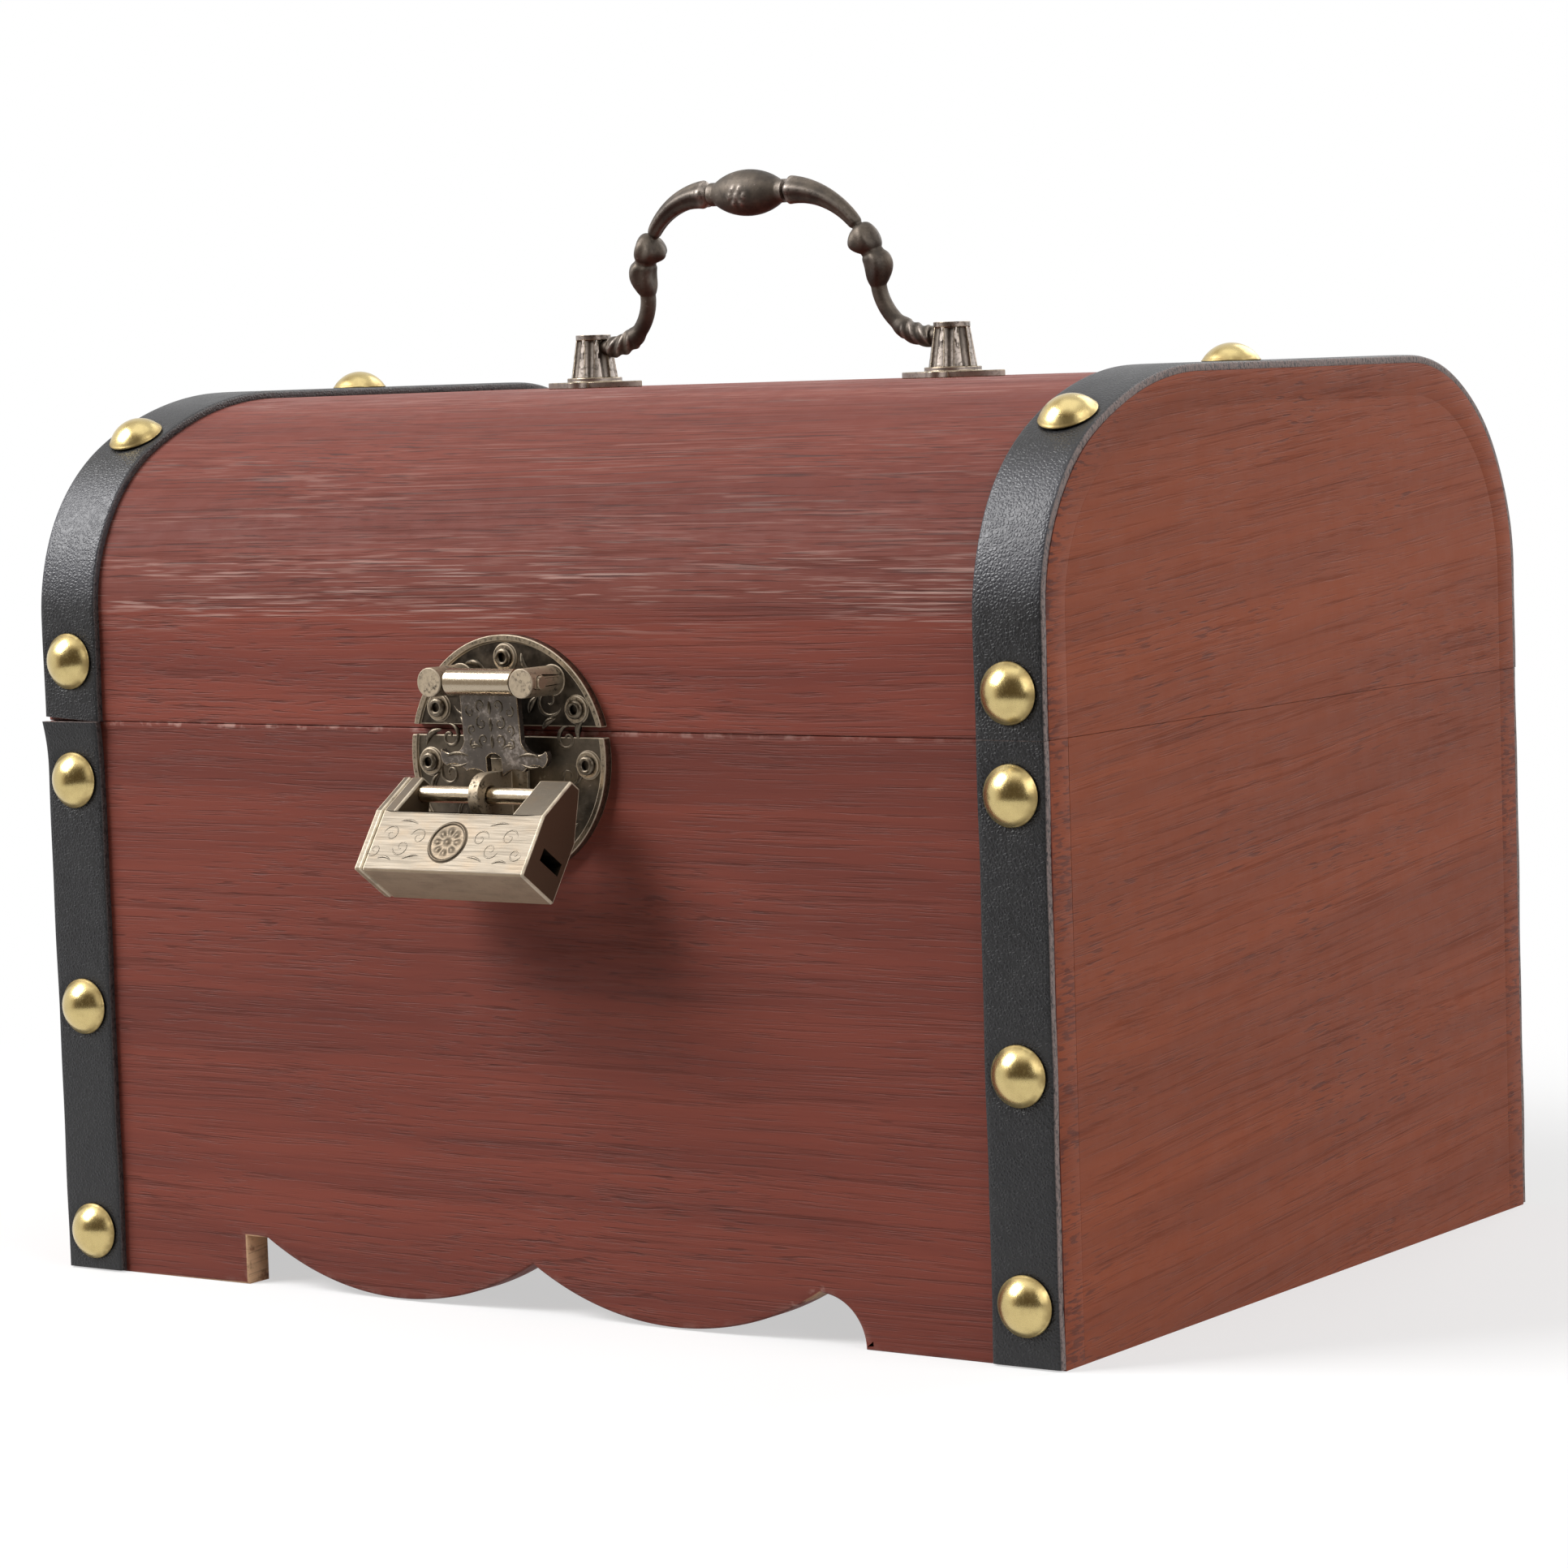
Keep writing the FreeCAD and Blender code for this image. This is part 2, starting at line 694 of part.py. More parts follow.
def padlock_springs():
    """Two leaf springs on the end of the stem, spread behind the mouth while the lock is shut."""
    tip = case_left + mouth_wall + spring_wall_gap
    root = stem_end - spring_seat
    low = stem_thickness / 2
    leaves = []
    for side in (-1, 1):
        inner = [(stem_end, low), (root, low), (tip, spring_spread)]
        outer = [(x, rise + spring_thickness) for x, rise in inner[::-1]]
        profile = inner + outer
        points = [Vector(x, -stem_width / 2, lock_middle + side * rise) for x, rise in profile]
        leaves.append(hung(prism(polygon(points), backward * stem_width)))
    return Part.makeCompound(leaves)


# Carrying handle

def handle_foot(x):
    """Leaf-shaped foot plate with side lobes and a round collar under the post."""
    centre = Vector(x, -handle_forward, chest_height)
    half = sideways * (foot_plate_length / 2)
    wide = backward * (foot_plate_width / 2)
    thick = upward * foot_plate_thickness
    outline = [arc(centre + half * side, centre + wide * side, centre - half * side) for side in (-1, 1)]
    leaf = prism(outline, thick)
    lobes = [rod(centre + wide * side, centre + wide * side + thick, foot_plate_lobe / 2) for side in (-1, 1)]
    top = centre + thick
    collar = rod(top, top + upward * collar_height, post_bottom_diameter / 2 + collar_lip)
    hole = rod(centre, top + upward * board, handle_screw_diameter / 2 + screw_clearance)
    return fuse([leaf, collar] + lobes).cut(hole)


post_low = foot_plate_thickness + collar_height
post_shoulder = post_height - post_cap_height


def post_radius(height):
    """Radius of a post's taper at a height above the lid."""
    share = (height - post_low) / (post_shoulder - post_low)
    return (post_bottom_diameter + (post_top_diameter - post_bottom_diameter) * share) / 2


def handle_post(side):
    """Tapered fluted post with a plain cap and a blind hole for the bail's end, on its inner side."""
    bottom = post_bottom_diameter / 2
    top = post_top_diameter / 2
    cone = Part.makeCone(bottom, top, post_shoulder - post_low, upward * post_low)
    flutes = []
    for place in range(flute_count):
        angle = 2 * math.pi * (place + 0.5) / flute_count
        out = Vector(math.cos(angle), math.sin(angle), 0)
        start = out * (bottom + flute_stand_off) + upward * post_low
        end = out * (top + flute_stand_off) + upward * post_shoulder
        flutes.append(rod(start, end, flute_radius))
    cap = Part.makeCylinder(top + glue_gap, post_cap_height, upward * post_shoulder)
    post = fuse([cone.cut(flutes), cap])
    inward = sideways * -side
    pin = rod(upward * handle_pivot_height, upward * handle_pivot_height + inward * post_bottom_diameter,
              handle_pin_diameter / 2 + pin_clearance)
    screw_top = upward * (post_low + handle_screw_reach)
    screw = rod(upward * post_low, screw_top, handle_screw_diameter / 2 + screw_clearance)
    post = post.cut([pin, screw])
    post.translate(Vector(side * handle_spacing / 2, -handle_forward, chest_height))
    return post


def handle_screws():
    """Pan-headed screws from inside the lid, up through the skin and the foot plates into the posts."""
    under = chest_height - board
    length = board + post_low + handle_screw_reach - bolt_gap
    screws = []
    for x in post_centres:
        seat = Vector(x, -handle_forward, under)
        head = rod(seat, seat - upward * handle_screw_head_height, handle_screw_head_diameter / 2)
        screws.append(fuse([head, rod(seat, seat + upward * length, handle_screw_diameter / 2)]))
    return Part.makeCompound(screws)


def tapered(path, start_radius, end_radius):
    """Round bar along a path in the XZ plane whose radius changes evenly from end to end."""
    first = path[0]
    last = path[-1]
    rings = []
    ends = ((first, first.FirstParameter, start_radius), (last, last.LastParameter, end_radius))
    for edge, parameter, radius in ends:
        ring = Part.Circle(edge.valueAt(parameter), edge.tangentAt(parameter), radius)
        rings.append(Part.Wire(ring.toShape()))
    return Part.Wire(path).makePipeShell(rings, True, False)


def barrel(length, radius, end_radius):
    """Barrel along X about the origin, widest in the middle."""
    end = length / 2
    left = Vector(-end, 0, end_radius)
    right = Vector(end, 0, end_radius)
    outline = [
        arc(left, upward * radius, right),
        line(right, sideways * end),
        line(sideways * end, sideways * -end),
        line(sideways * -end, left),
    ]
    return Part.Face(Part.Wire(outline)).revolve(Vector(0, 0, 0), sideways, 360)


def handle_bail():
    """Cast bail: a barrel bead, trumpet arms, a knob and a bud a side, and slim ends in the posts."""
    post_face = handle_spacing / 2 - post_radius(handle_pivot_height - rope_radius) - handle_end_gap
    waist = post_face - bail_foot_radius
    arm_centre = Vector(waist - bail_shoulder_radius, 0, bail_rise - bail_shoulder_radius)
    foot_centre = Vector(post_face, 0, bail_foot_radius)
    bead_end = bead_length / 2

    def on_arm(angle, outset=0):
        """Point of the shoulder, angle degrees up from level, moved out from its line by the outset."""
        turn = math.radians(angle)
        return arm_centre + Vector(math.cos(turn), 0, math.sin(turn)) * (bail_shoulder_radius + outset)

    lip = Vector(bead_end + arm_lip_gap, 0, bail_rise)
    arm_path = [arc(on_arm(knob_angle), on_arm((knob_angle + 90) / 2), on_arm(90))]
    if arm_centre.x > lip.x:
        arm_path.append(line(on_arm(90), lip))
    diagonal = Vector(-math.sqrt(0.5), 0, -math.sqrt(0.5)) * bail_foot_radius
    bend_top = Vector(waist, 0, bail_foot_radius)
    foot_path = [
        arc(foot_centre - upward * bail_foot_radius, foot_centre + diagonal, bend_top),
        line(bend_top, on_arm(0)),
    ]
    bead = barrel(bead_length, bead_radius, bead_neck_radius)
    bead.translate(upward * bail_rise)
    bud = barrel(bud_length, bud_radius, bud_end_radius)
    bud.rotate(Vector(0, 0, 0), backward, 90 - bud_angle)
    bud.translate(on_arm(bud_angle, bud_outset))
    half = [
        tapered(arm_path, arm_radius, arm_lip_radius),
        tapered(foot_path, rope_radius, waist_radius),
        tapered([arc(on_arm(0), on_arm(knob_angle / 2), on_arm(knob_angle))], waist_radius, arm_radius),
        Part.makeSphere(knob_radius, on_arm(knob_angle, -knob_inset)),
        bud,
        rod(Vector(bead_end - bead_neck_radius, 0, bail_rise), lip + sideways, bead_neck_radius),
        rod(Vector(post_face, 0, 0), Vector(handle_spacing / 2 - bolt_gap, 0, 0), handle_pin_diameter / 2),
    ]
    half = fuse(half)
    bail = fuse([bead, half, half.mirror(Vector(0, 0, 0), sideways)])
    bail.rotate(Vector(0, 0, 0), sideways, bail_lean)
    bail.translate(handle_pivot)
    return bail


# All pieces by node name

nail = domed_pin(nail_head_diameter, nail_head_height, nail_shank_diameter, nail_reach)
latch_pin = domed_pin(screw_head_diameter, screw_head_height, pin_shank_diameter, latch_pin_reach)
pin_mouth = (upward * screw_head_height, upward)
latch_pin = drilled(latch_pin, [pin_mouth], pin_hollow_diameter / 2, pin_hollow_depth)
leaf_screw = domed_pin(screw_head_diameter, screw_head_height, screw_shank_diameter, leaf_screw_reach)

pieces = {
    "front_panel": front_panel(),
    "back_panel": back_panel(),
    "left_side_panel": side_panel(-1),
    "right_side_panel": side_panel(1),
    "bottom_board": bottom_board(),
    "front_left_body_strap": body_strap(-1, -1, left_front_seats),
    "front_right_body_strap": body_strap(1, -1, right_front_seats),
    "back_left_body_strap": body_strap(-1, 1, left_back_seats),
    "back_right_body_strap": body_strap(1, 1, right_back_seats),
    "body_strap_nails": group(nail, body_nail_seats),
    "lid_skin": lid_skin(),
    "lid_left_end": lid_end(-1),
    "lid_right_end": lid_end(1),
    "left_lid_strap": lid_strap(-1, left_lid_seats),
    "right_lid_strap": lid_strap(1, right_lid_seats),
    "lid_strap_nails": group(nail, left_lid_seats + right_lid_seats),
    "left_hinge_body_leaf": hinge_leaf(hinge_centres[0], -1),
    "right_hinge_body_leaf": hinge_leaf(hinge_centres[1], -1),
    "left_hinge_lid_leaf": hinge_leaf(hinge_centres[0], 1),
    "right_hinge_lid_leaf": hinge_leaf(hinge_centres[1], 1),
    "left_hinge_pin": hinge_pin(hinge_centres[0]),
    "right_hinge_pin": hinge_pin(hinge_centres[1]),
    "hinge_body_screws": group(leaf_screw, body_leaf_seats),
    "hinge_lid_screws": group(leaf_screw, lid_leaf_seats),
    "latch_lower_plate": latch_plate(-1, lower_pin_seats),
    "latch_lower_pins": group(latch_pin, lower_pin_seats),
    "latch_staple": latch_staple(),
    "latch_upper_plate": latch_upper_plate(),
    "latch_upper_pins": group(latch_pin, upper_pin_seats),
    "hasp_pin": hasp_pin(),
    "hasp": hasp(),
    "padlock_body": padlock_body(),
    "padlock_bolt": padlock_bolt(),
    "padlock_springs": padlock_springs(),
    "handle_left_foot": handle_foot(post_centres[0]),
    "handle_right_foot": handle_foot(post_centres[1]),
    "handle_left_post": handle_post(-1),
    "handle_right_post": handle_post(1),
    "handle_screws": handle_screws(),
    "handle_bail": handle_bail(),
}

# The origin lies on the floor, under the middle of the whole part
whole = Part.makeCompound(list(pieces.values())).BoundBox
shift = Vector(0, -(whole.YMin + whole.YMax) / 2, 0)

os.makedirs("parts", exist_ok=True)
for name, shape in pieces.items():
    shape.translate(shift)
    shape.exportStep("parts/" + name + ".step")
    print(name, "valid" if shape.isValid() else "NOT VALID", len(shape.Solids), round(shape.Volume, 1))

print("moved along Y by", round(shift.y, 3))
print("hinge axis", hinge_y + shift.y, hinge_z)
print("hasp pin axis", hasp_pin_centre + shift)
print("eye axis", eye_centre + shift)
print("handle axis", handle_pivot + shift)
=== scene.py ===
"""Small treasure chest: stained boards, leather straps, dome nails, latch, padlock and carrying handle."""

import json
import math

import bmesh
import bpy
import numpy as np
from bpy.props import FloatProperty, FloatVectorProperty, IntProperty, PointerProperty
from mathutils import Matrix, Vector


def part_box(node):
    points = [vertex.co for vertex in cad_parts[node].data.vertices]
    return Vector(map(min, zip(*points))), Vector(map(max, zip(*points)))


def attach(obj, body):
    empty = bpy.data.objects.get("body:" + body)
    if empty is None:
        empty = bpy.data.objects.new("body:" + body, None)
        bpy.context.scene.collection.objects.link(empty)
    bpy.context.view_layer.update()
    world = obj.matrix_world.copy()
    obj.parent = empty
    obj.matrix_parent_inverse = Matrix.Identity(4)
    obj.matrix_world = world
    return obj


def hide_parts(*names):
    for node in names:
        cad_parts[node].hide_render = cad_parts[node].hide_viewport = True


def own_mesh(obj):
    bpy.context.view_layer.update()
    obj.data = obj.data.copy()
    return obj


bl_info = {
    "name": "Treasure Chest",
    "version": (1, 0, 0),
    "blender": (4, 5, 0),
    "location": "View3D > Sidebar > Chest",
    "description": "Dresses the chest's frame in stained wood, leather, brass and bronze",
    "category": "Object",
}

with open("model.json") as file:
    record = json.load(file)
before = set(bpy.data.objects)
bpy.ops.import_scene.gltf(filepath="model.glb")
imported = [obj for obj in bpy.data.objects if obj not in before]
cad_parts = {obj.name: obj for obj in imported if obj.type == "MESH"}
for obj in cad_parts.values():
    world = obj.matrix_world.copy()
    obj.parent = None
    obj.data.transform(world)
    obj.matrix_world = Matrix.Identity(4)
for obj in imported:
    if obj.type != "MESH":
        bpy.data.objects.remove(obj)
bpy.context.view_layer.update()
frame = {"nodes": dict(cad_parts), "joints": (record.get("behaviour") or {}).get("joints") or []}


# Facts read from the frame

def corners(node):
    """Lowest and highest corner of a CAD node, in metres."""
    low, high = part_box(node)
    return np.array(low), np.array(high)


def pivot(joint_name):
    """Point on a joint's axis, in metres."""
    joint = next(joint for joint in frame["joints"] if joint["name"] == joint_name)
    return np.array(joint["pos_m"], float)


MM = 0.001
WELD = 1e-5
PANEL_LOW, PANEL_HIGH = corners("front_panel")
STRAP_LOW, STRAP_HIGH = corners("front_left_body_strap")
PLATE_LOW, PLATE_HIGH = corners("latch_lower_plate")
BOARD = PANEL_HIGH[1] - PANEL_LOW[1]
GLUE_GAP = 0.01 * MM
HALF_LENGTH = PANEL_HIGH[0]
FRONT_Y = PANEL_LOW[1]
BACK_Y = corners("back_panel")[1][1]
SEAM = PANEL_HIGH[2]
SEAM_LINE = 0.08 * MM
LID_FLOOR = SEAM + SEAM_LINE
TOP = corners("lid_skin")[1][2]
STRAP_WIDTH = STRAP_HIGH[0] - STRAP_LOW[0]
STRAP_THICKNESS = STRAP_HIGH[1] - STRAP_LOW[1]
EYE = pivot("padlock_swing")
HASP_PIN = pivot("hasp_hinge")
HANDLE_PIVOT = pivot("handle_fold")
X_AXIS, Y_AXIS, Z_AXIS = np.eye(3)


# Settings that a user would change

def length(name, millimetres, description):
    """Setting for a length, written in millimetres and kept in metres."""
    return FloatProperty(name=name, description=description, default=millimetres * MM, min=0, precision=5,
                         subtype="DISTANCE", unit="LENGTH")


def angle(name, degrees, description):
    """Setting for an angle, written in degrees and kept in radians."""
    return FloatProperty(name=name, description=description, default=math.radians(degrees),
                         subtype="ANGLE", unit="ROTATION")


def colour(name, value, description):
    """Setting for a colour as linear red, green and blue."""
    return FloatVectorProperty(name=name, description=description, default=value, size=3, min=0, max=1,
                               subtype="COLOR")


def number(name, value, description):
    """Setting for a plain number."""
    return FloatProperty(name=name, description=description, default=value, min=0)


class WoodSettings(bpy.types.PropertyGroup):
    """Stains and sizes of the boards"""

    stain: colour("Lid stain", (0.254, 0.0600, 0.0390), "Red brown of the lid")
    deep: colour("Deep lid stain", (0.175, 0.0395, 0.0274), "Stain where the lid's soft grain drank most")
    body_stain: colour("Body stain", (0.226, 0.0535, 0.0350), "Darker red brown of front and back")
    body_deep: colour("Deep body stain", (0.152, 0.0355, 0.0250), "Stain where these boards drank most")
    end_stain: colour("End stain", (0.298, 0.0685, 0.0260), "Lighter brown of the end boards")
    end_deep: colour("Deep end stain", (0.218, 0.0500, 0.0206), "Stain where the end boards drank most")
    end_turn: angle("End turn", 4.5, "Climb of the grain towards the back on the end boards")
    end_lines: number("End lines", 0.60, "Strength of the grain's lines on the end boards")
    # Weathering and shade: greyer, darker stain over the lid's slope, partly weathering, partly painted shade
    weathering_and_shade: colour("Weathered", (0.085, 0.038, 0.034), "Greyed stain where the lid bends")
    streak: colour("Streak", (0.081, 0.020, 0.014), "Dark lines of the grain")
    # Scuff and sheen: pale lines where the stain has rubbed off, and painted sheen on the lid's bend and
    # crown
    scuff_and_sheen: colour("Scuff", (0.57, 0.36, 0.31), "Pale lines where the stain has rubbed off")
    inside: colour("Inside", (0.46, 0.24, 0.14), "Thin stain on the inner faces")
    raw: colour("Raw wood", (0.95, 0.60, 0.36), "Bare wood of cut faces and of the bottom")
    edge_ease: length("Edge ease", 0.40, "Rounding of the skirt's edges")
    seam_ease: length("Seam ease", 0.22, "Rounding along the seam of the lid")
    joint_ease: length("Joint ease", 0.015, "Rounding where two boards meet")
    skirt_rise: length("Skirt rise", 9.0, "Height of the skirt's cusps")
    lobe_span: length("Lobe span", 61.5, "Width of one lobe of the skirt")
    lobe_floor_gap: length("Lobe floor gap", 0.3, "Height of the lobes over the floor")
    notch_width: length("Notch width", 5.0, "Width of the square notch at the left foot")
    bend_radius: length("Front bend radius", 34.5, "Tight bend at the lid's front")
    crown_radius: length("Front crown radius", 70.5, "Wide bend from the front to the top")
    bend_angle: angle("Front bend angle", 60.0, "Slope at which the tight bend passes into the wide one")
    back_radius: length("Back bend radius", 40.0, "Bend at the lid's back")


class StrapSettings(bpy.types.PropertyGroup):
    """Leather and shape of the straps"""

    leather: colour("Leather", (0.0066, 0.0069, 0.0094), "Black of the leather")
    dust: colour("Dust", (0.016, 0.0165, 0.018), "Greyer leather in cloudy patches")
    crease: colour("Crease", (0.003, 0.003, 0.0035), "Deepest black between the pebbles")
    cut_edge: colour("Cut edge", (0.26, 0.20, 0.185), "Fibres on the cut edges")
    # Sheen: a painted sheen, paler leather where the straps bend over the lid
    sheen: colour("Sheen", (0.053, 0.054, 0.067), "Leather stretched over the bend")
    grain: length("Grain", 0.65, "Width of one pebble of the leather's grain")
    edge_round: length("Edge rounding", 0.45, "Rounding of the outer edges")
    inner_round: length("Inner rounding", 0.08, "Rounding of the edges on the board")
    camber: length("Camber", 0.10, "How far the outer face falls at its edges")
    dent: length("Dent", 0.28, "Depth of the dent round a nail's head")
    dent_start: length("Dent start", 4.6, "Distance from a nail's seat at which its dent begins to fade")
    dent_fade: length("Dent fade", 1.1, "How far the dent reaches beyond that")
    wander: length("Wander", 0.22, "How far the cut edges wander inwards")
    long_wave: length("Long wave", 9.0, "Slow wandering of the cut edges, for one radian")
    short_wave: length("Short wave", 3.7, "Quick wandering of the cut edges, for one radian")
    curl: length("Curl", 1.2, "How far the top end of the left front strap curls off the board")
    curl_length: length("Curl length", 9.0, "Length of the end that curls")
    slant: length("Slant", 0.8, "How far the left lid strap's front end is cut aslant")
    slant_length: length("Slant length", 6.0, "Length over which the slant fades")


class NailSettings(bpy.types.PropertyGroup):
    """Brass and shape of the dome nails"""

    brass: colour("Brass", (0.60, 0.475, 0.215), "Polished brass of the nails")
    grime: colour("Grime", (0.22, 0.15, 0.06), "Dull brass round the heads' rims")
    head_height: length("Head height", 3.2, "Height of a nail's dome")
    head_radius: length("Head radius", 5.25, "Radius of a nail's dome")
    sides: IntProperty(name="Sides", description="Points round a nail's head", default=44, min=12)


class MetalSettings(bpy.types.PropertyGroup):
    """Metals and edges of hinges, latch, padlock and handle"""

    # Patina is also the painted shade in the padlock's keyhole and pocket
    patina: colour("Patina", (0.022, 0.018, 0.014), "Dark patina in the hollows")
    bronze: colour("Bronze", (0.085, 0.069, 0.053), "Bronze of the flat faces")
    rubbed: colour("Rubbed", (0.46, 0.38, 0.28), "Bare metal on edges and high places")
    cast: colour("Cast metal", (0.40, 0.35, 0.315), "Greyer bare metal of the bail and the flap")
    steel: colour("Steel", (0.42, 0.41, 0.39), "Springs, hinge pins and screws")
    lock_brass: colour("Lock brass", (0.170, 0.146, 0.116), "Pale brass of the padlock")
    # Case: browner brass, lifted lighter than the face as painted light on the case's sides
    lock_case_lit: colour("Lock case", (0.318, 0.245, 0.170), "Browner brass of the padlock's other sides")
    # Darker brass in random patches, and painted shade on the padlock's end faces
    lock_aged_and_shade: colour("Lock shade", (0.190, 0.145, 0.100), "Aged brass in hollows and on the ends")
    medal: colour("Medal", (0.100, 0.080, 0.058), "Darker brass of the padlock's rosette")
    # Bare brass of the bar and rounded edges, partly rubbed metal and partly a painted highlight
    lock_bare_and_highlight: colour("Lock bright", (0.70, 0.61, 0.47), "Bare brass of the padlock's edges and bar")
    edge: length("Edge", 0.16, "Rounding of the cast edges")
    rim_edge: length("Rim edge", 0.20, "Rounding of the latch plates")
    lock_edge: length("Lock edge", 0.42, "Rounding of the padlock's edges")
    vine: length("Vine", 0.42, "Thickness of the raised scrolls on the latch")
    engraving: length("Engraving", 0.15, "Thickness of the fine scrolls on the padlock")


class BailSettings(bpy.types.PropertyGroup):
    """Line and radii of the handle's bail"""

    rise: length("Rise", 28.3, "Height of the grip over the pivot")
    shoulder_radius: length("Shoulder radius", 16.5, "Bend of the arms")
    foot_radius: length("Foot radius", 10.5, "Bend of the feet towards the posts")
    post_face: length("Post face", 36.8, "Where the ends enter the posts, from the middle")
    pin_end: length("Pin end", 40.8, "Where the ends stop inside the posts, from the middle")
    lean: angle("Lean", 10.0, "How far the bail leans to the front")
    bead_radius: length("Bead radius", 4.35, "Middle of the grip's bead")
    bead_length: length("Bead length", 14.2, "Length of the grip's bead")
    neck_radius: length("Neck radius", 2.2, "Neck between the bead and the arms")
    lip_gap: length("Lip gap", 1.4, "Length of that neck")
    lip_blend: length("Lip blend", 1.6, "Half the length over which the neck swells to the trumpet's lip")
    lip_radius: length("Lip radius", 2.75, "Trumpet end of the arms")
    arm_radius: length("Arm radius", 1.25, "Slim end of the arms")
    knob_radius: length("Knob radius", 3.15, "Ball under each arm")
    knob_angle: angle("Knob angle", 24.3, "Place of the knob on the shoulder, up from level")
    knob_inset: length("Knob inset", 0.6, "How far the knob stands inwards")
    knob_reach: length("Knob reach", 2.4, "Half the length of the line's bend at the knob")
    bud_radius: length("Bud radius", 2.65, "Bud under the knob")
    bud_length: length("Bud length", 8.6, "Length of the bud")
    bud_end_radius: length("Bud end radius", 1.3, "Ends of the bud")
    bud_angle: angle("Bud angle", 7.0, "Place of the bud on the shoulder, up from level")
    bud_outset: length("Bud outset", 0.9, "How far the bud stands outwards")
    bud_reach: length("Bud reach", 2.6, "Half the length of the line's bend at the bud")
    waist_radius: length("Waist radius", 1.5, "Plain rod under the bud")
    rope_radius: length("Rope radius", 1.9, "Twisted rope at the posts")
    rope_length: length("Rope length", 6.5, "Length of that rope")
    rope_pitch: length("Rope pitch", 0.40, "Length of the rope for one radian of its waves")
    rope_depth: length("Rope depth", 0.18, "Height of the rope's strands")
    flute_depth: length("Flute depth", 0.22, "Height of the ridges on arms, knobs and buds")
    groove_depth: length("Groove depth", 0.25, "Depth of the grooves beside each knob")
    flower_height: length("Flower height", 0.32, "Height of the flower on the bead")


class StageSettings(bpy.types.PropertyGroup):
    """Camera, lights and room"""

    azimuth: angle("Azimuth", 34.597, "Camera's turn from the chest's front to its right end")
    elevation: angle("Elevation", 4.953, "Camera's height over level")
    roll: angle("Roll", -1.836, "Camera's turn about its own line of sight")
    focal: number("Focal length", 5941.56 / 1932, "Focal length as a share of the image's width")
    key: number("Key light", 17.9, "Watts of the soft light at the upper left")
    fill: number("Fill light", 7.8, "Watts of the soft light at the right")
    top: number("Top light", 1.2, "Watts of the soft light overhead")
    back: number("Back light", 7.5, "Watts of the soft light behind")
    ambient: number("Ambient", 0.07, "Strength of the white surroundings on matt surfaces")
    front_wall: number("Front wall", 0.11, "Strength of the room in front, as reflections show it")
    wall_tint: colour("Wall tint", (1.0, 0.74, 0.46), "Warm tint of that dim room")


class ChestSettings(bpy.types.PropertyGroup):
    """All settings of the chest"""

    wood: PointerProperty(type=WoodSettings)
    strap: PointerProperty(type=StrapSettings)
    nail: PointerProperty(type=NailSettings)
    metal: PointerProperty(type=MetalSettings)
    bail: PointerProperty(type=BailSettings)
    stage: PointerProperty(type=StageSettings)


# Shader nodes as Python expressions

class Value:
    """A shader socket that takes part in Python arithmetic."""

    def __init__(self, finish, socket):
        self.finish = finish
        self.socket = socket

    def joined(self, operation, first, second):
        """Result of a Math node, first value before second."""
        return self.finish.node("ShaderNodeMath", {"operation": operation}, {0: first, 1: second})

    def __add__(self, other):
        return self.joined("ADD", self, other)

    def __radd__(self, other):
        return self.joined("ADD", other, self)

    def __sub__(self, other):
        return self.joined("SUBTRACT", self, other)

    def __rsub__(self, other):
        return self.joined("SUBTRACT", other, self)

    def __mul__(self, other):
        return self.joined("MULTIPLY", self, other)

    def __rmul__(self, other):
        return self.joined("MULTIPLY", other, self)


class Nodes:
    """Node tree whose nodes are added by type, settings and sockets."""

    def __init__(self, tree):
        self.tree = tree
        self.tree.nodes.clear()

    def feed(self, socket, value):
        """Link a value to a socket, or set the socket to a plain number, colour or vector."""
        if isinstance(value, Value):
            self.tree.links.new(value.socket, socket)
        else:
            socket.default_value = value

    def node(self, kind, settings=None, inputs=None, output=0):
        """Add a node: first its settings, then the values or links of its sockets."""
        made = self.tree.nodes.new(kind)
        for setting, value in (settings or {}).items():
            setattr(made, setting, value)
        for place, value in (inputs or {}).items():
            self.feed(made.inputs[place], value)
        return None if output is None else Value(self, made.outputs[output])

    def ramp(self, value, low, high, start=0.0, end=1.0):
        """Smooth step from start at low to end at high."""
        inputs = {"Value": value, "From Min": low, "From Max": high, "To Min": start, "To Max": end}
        return self.node("ShaderNodeMapRange", {"interpolation_type": "SMOOTHSTEP"}, inputs)

    def highest(self, first, second):
        """The larger of two values."""
        return self.node("ShaderNodeMath", {"operation": "MAXIMUM"}, {0: first, 1: second})

    def mix(self, share, first, second):
        """First colour where the share is 0, second where it is 1."""
        inputs = {0: share}
        for place, value in ((6, first), (7, second)):
            inputs[place] = value if isinstance(value, Value) else (*value, 1.0)
        return self.node("ShaderNodeMix", {"data_type": "RGBA"}, inputs, 2)


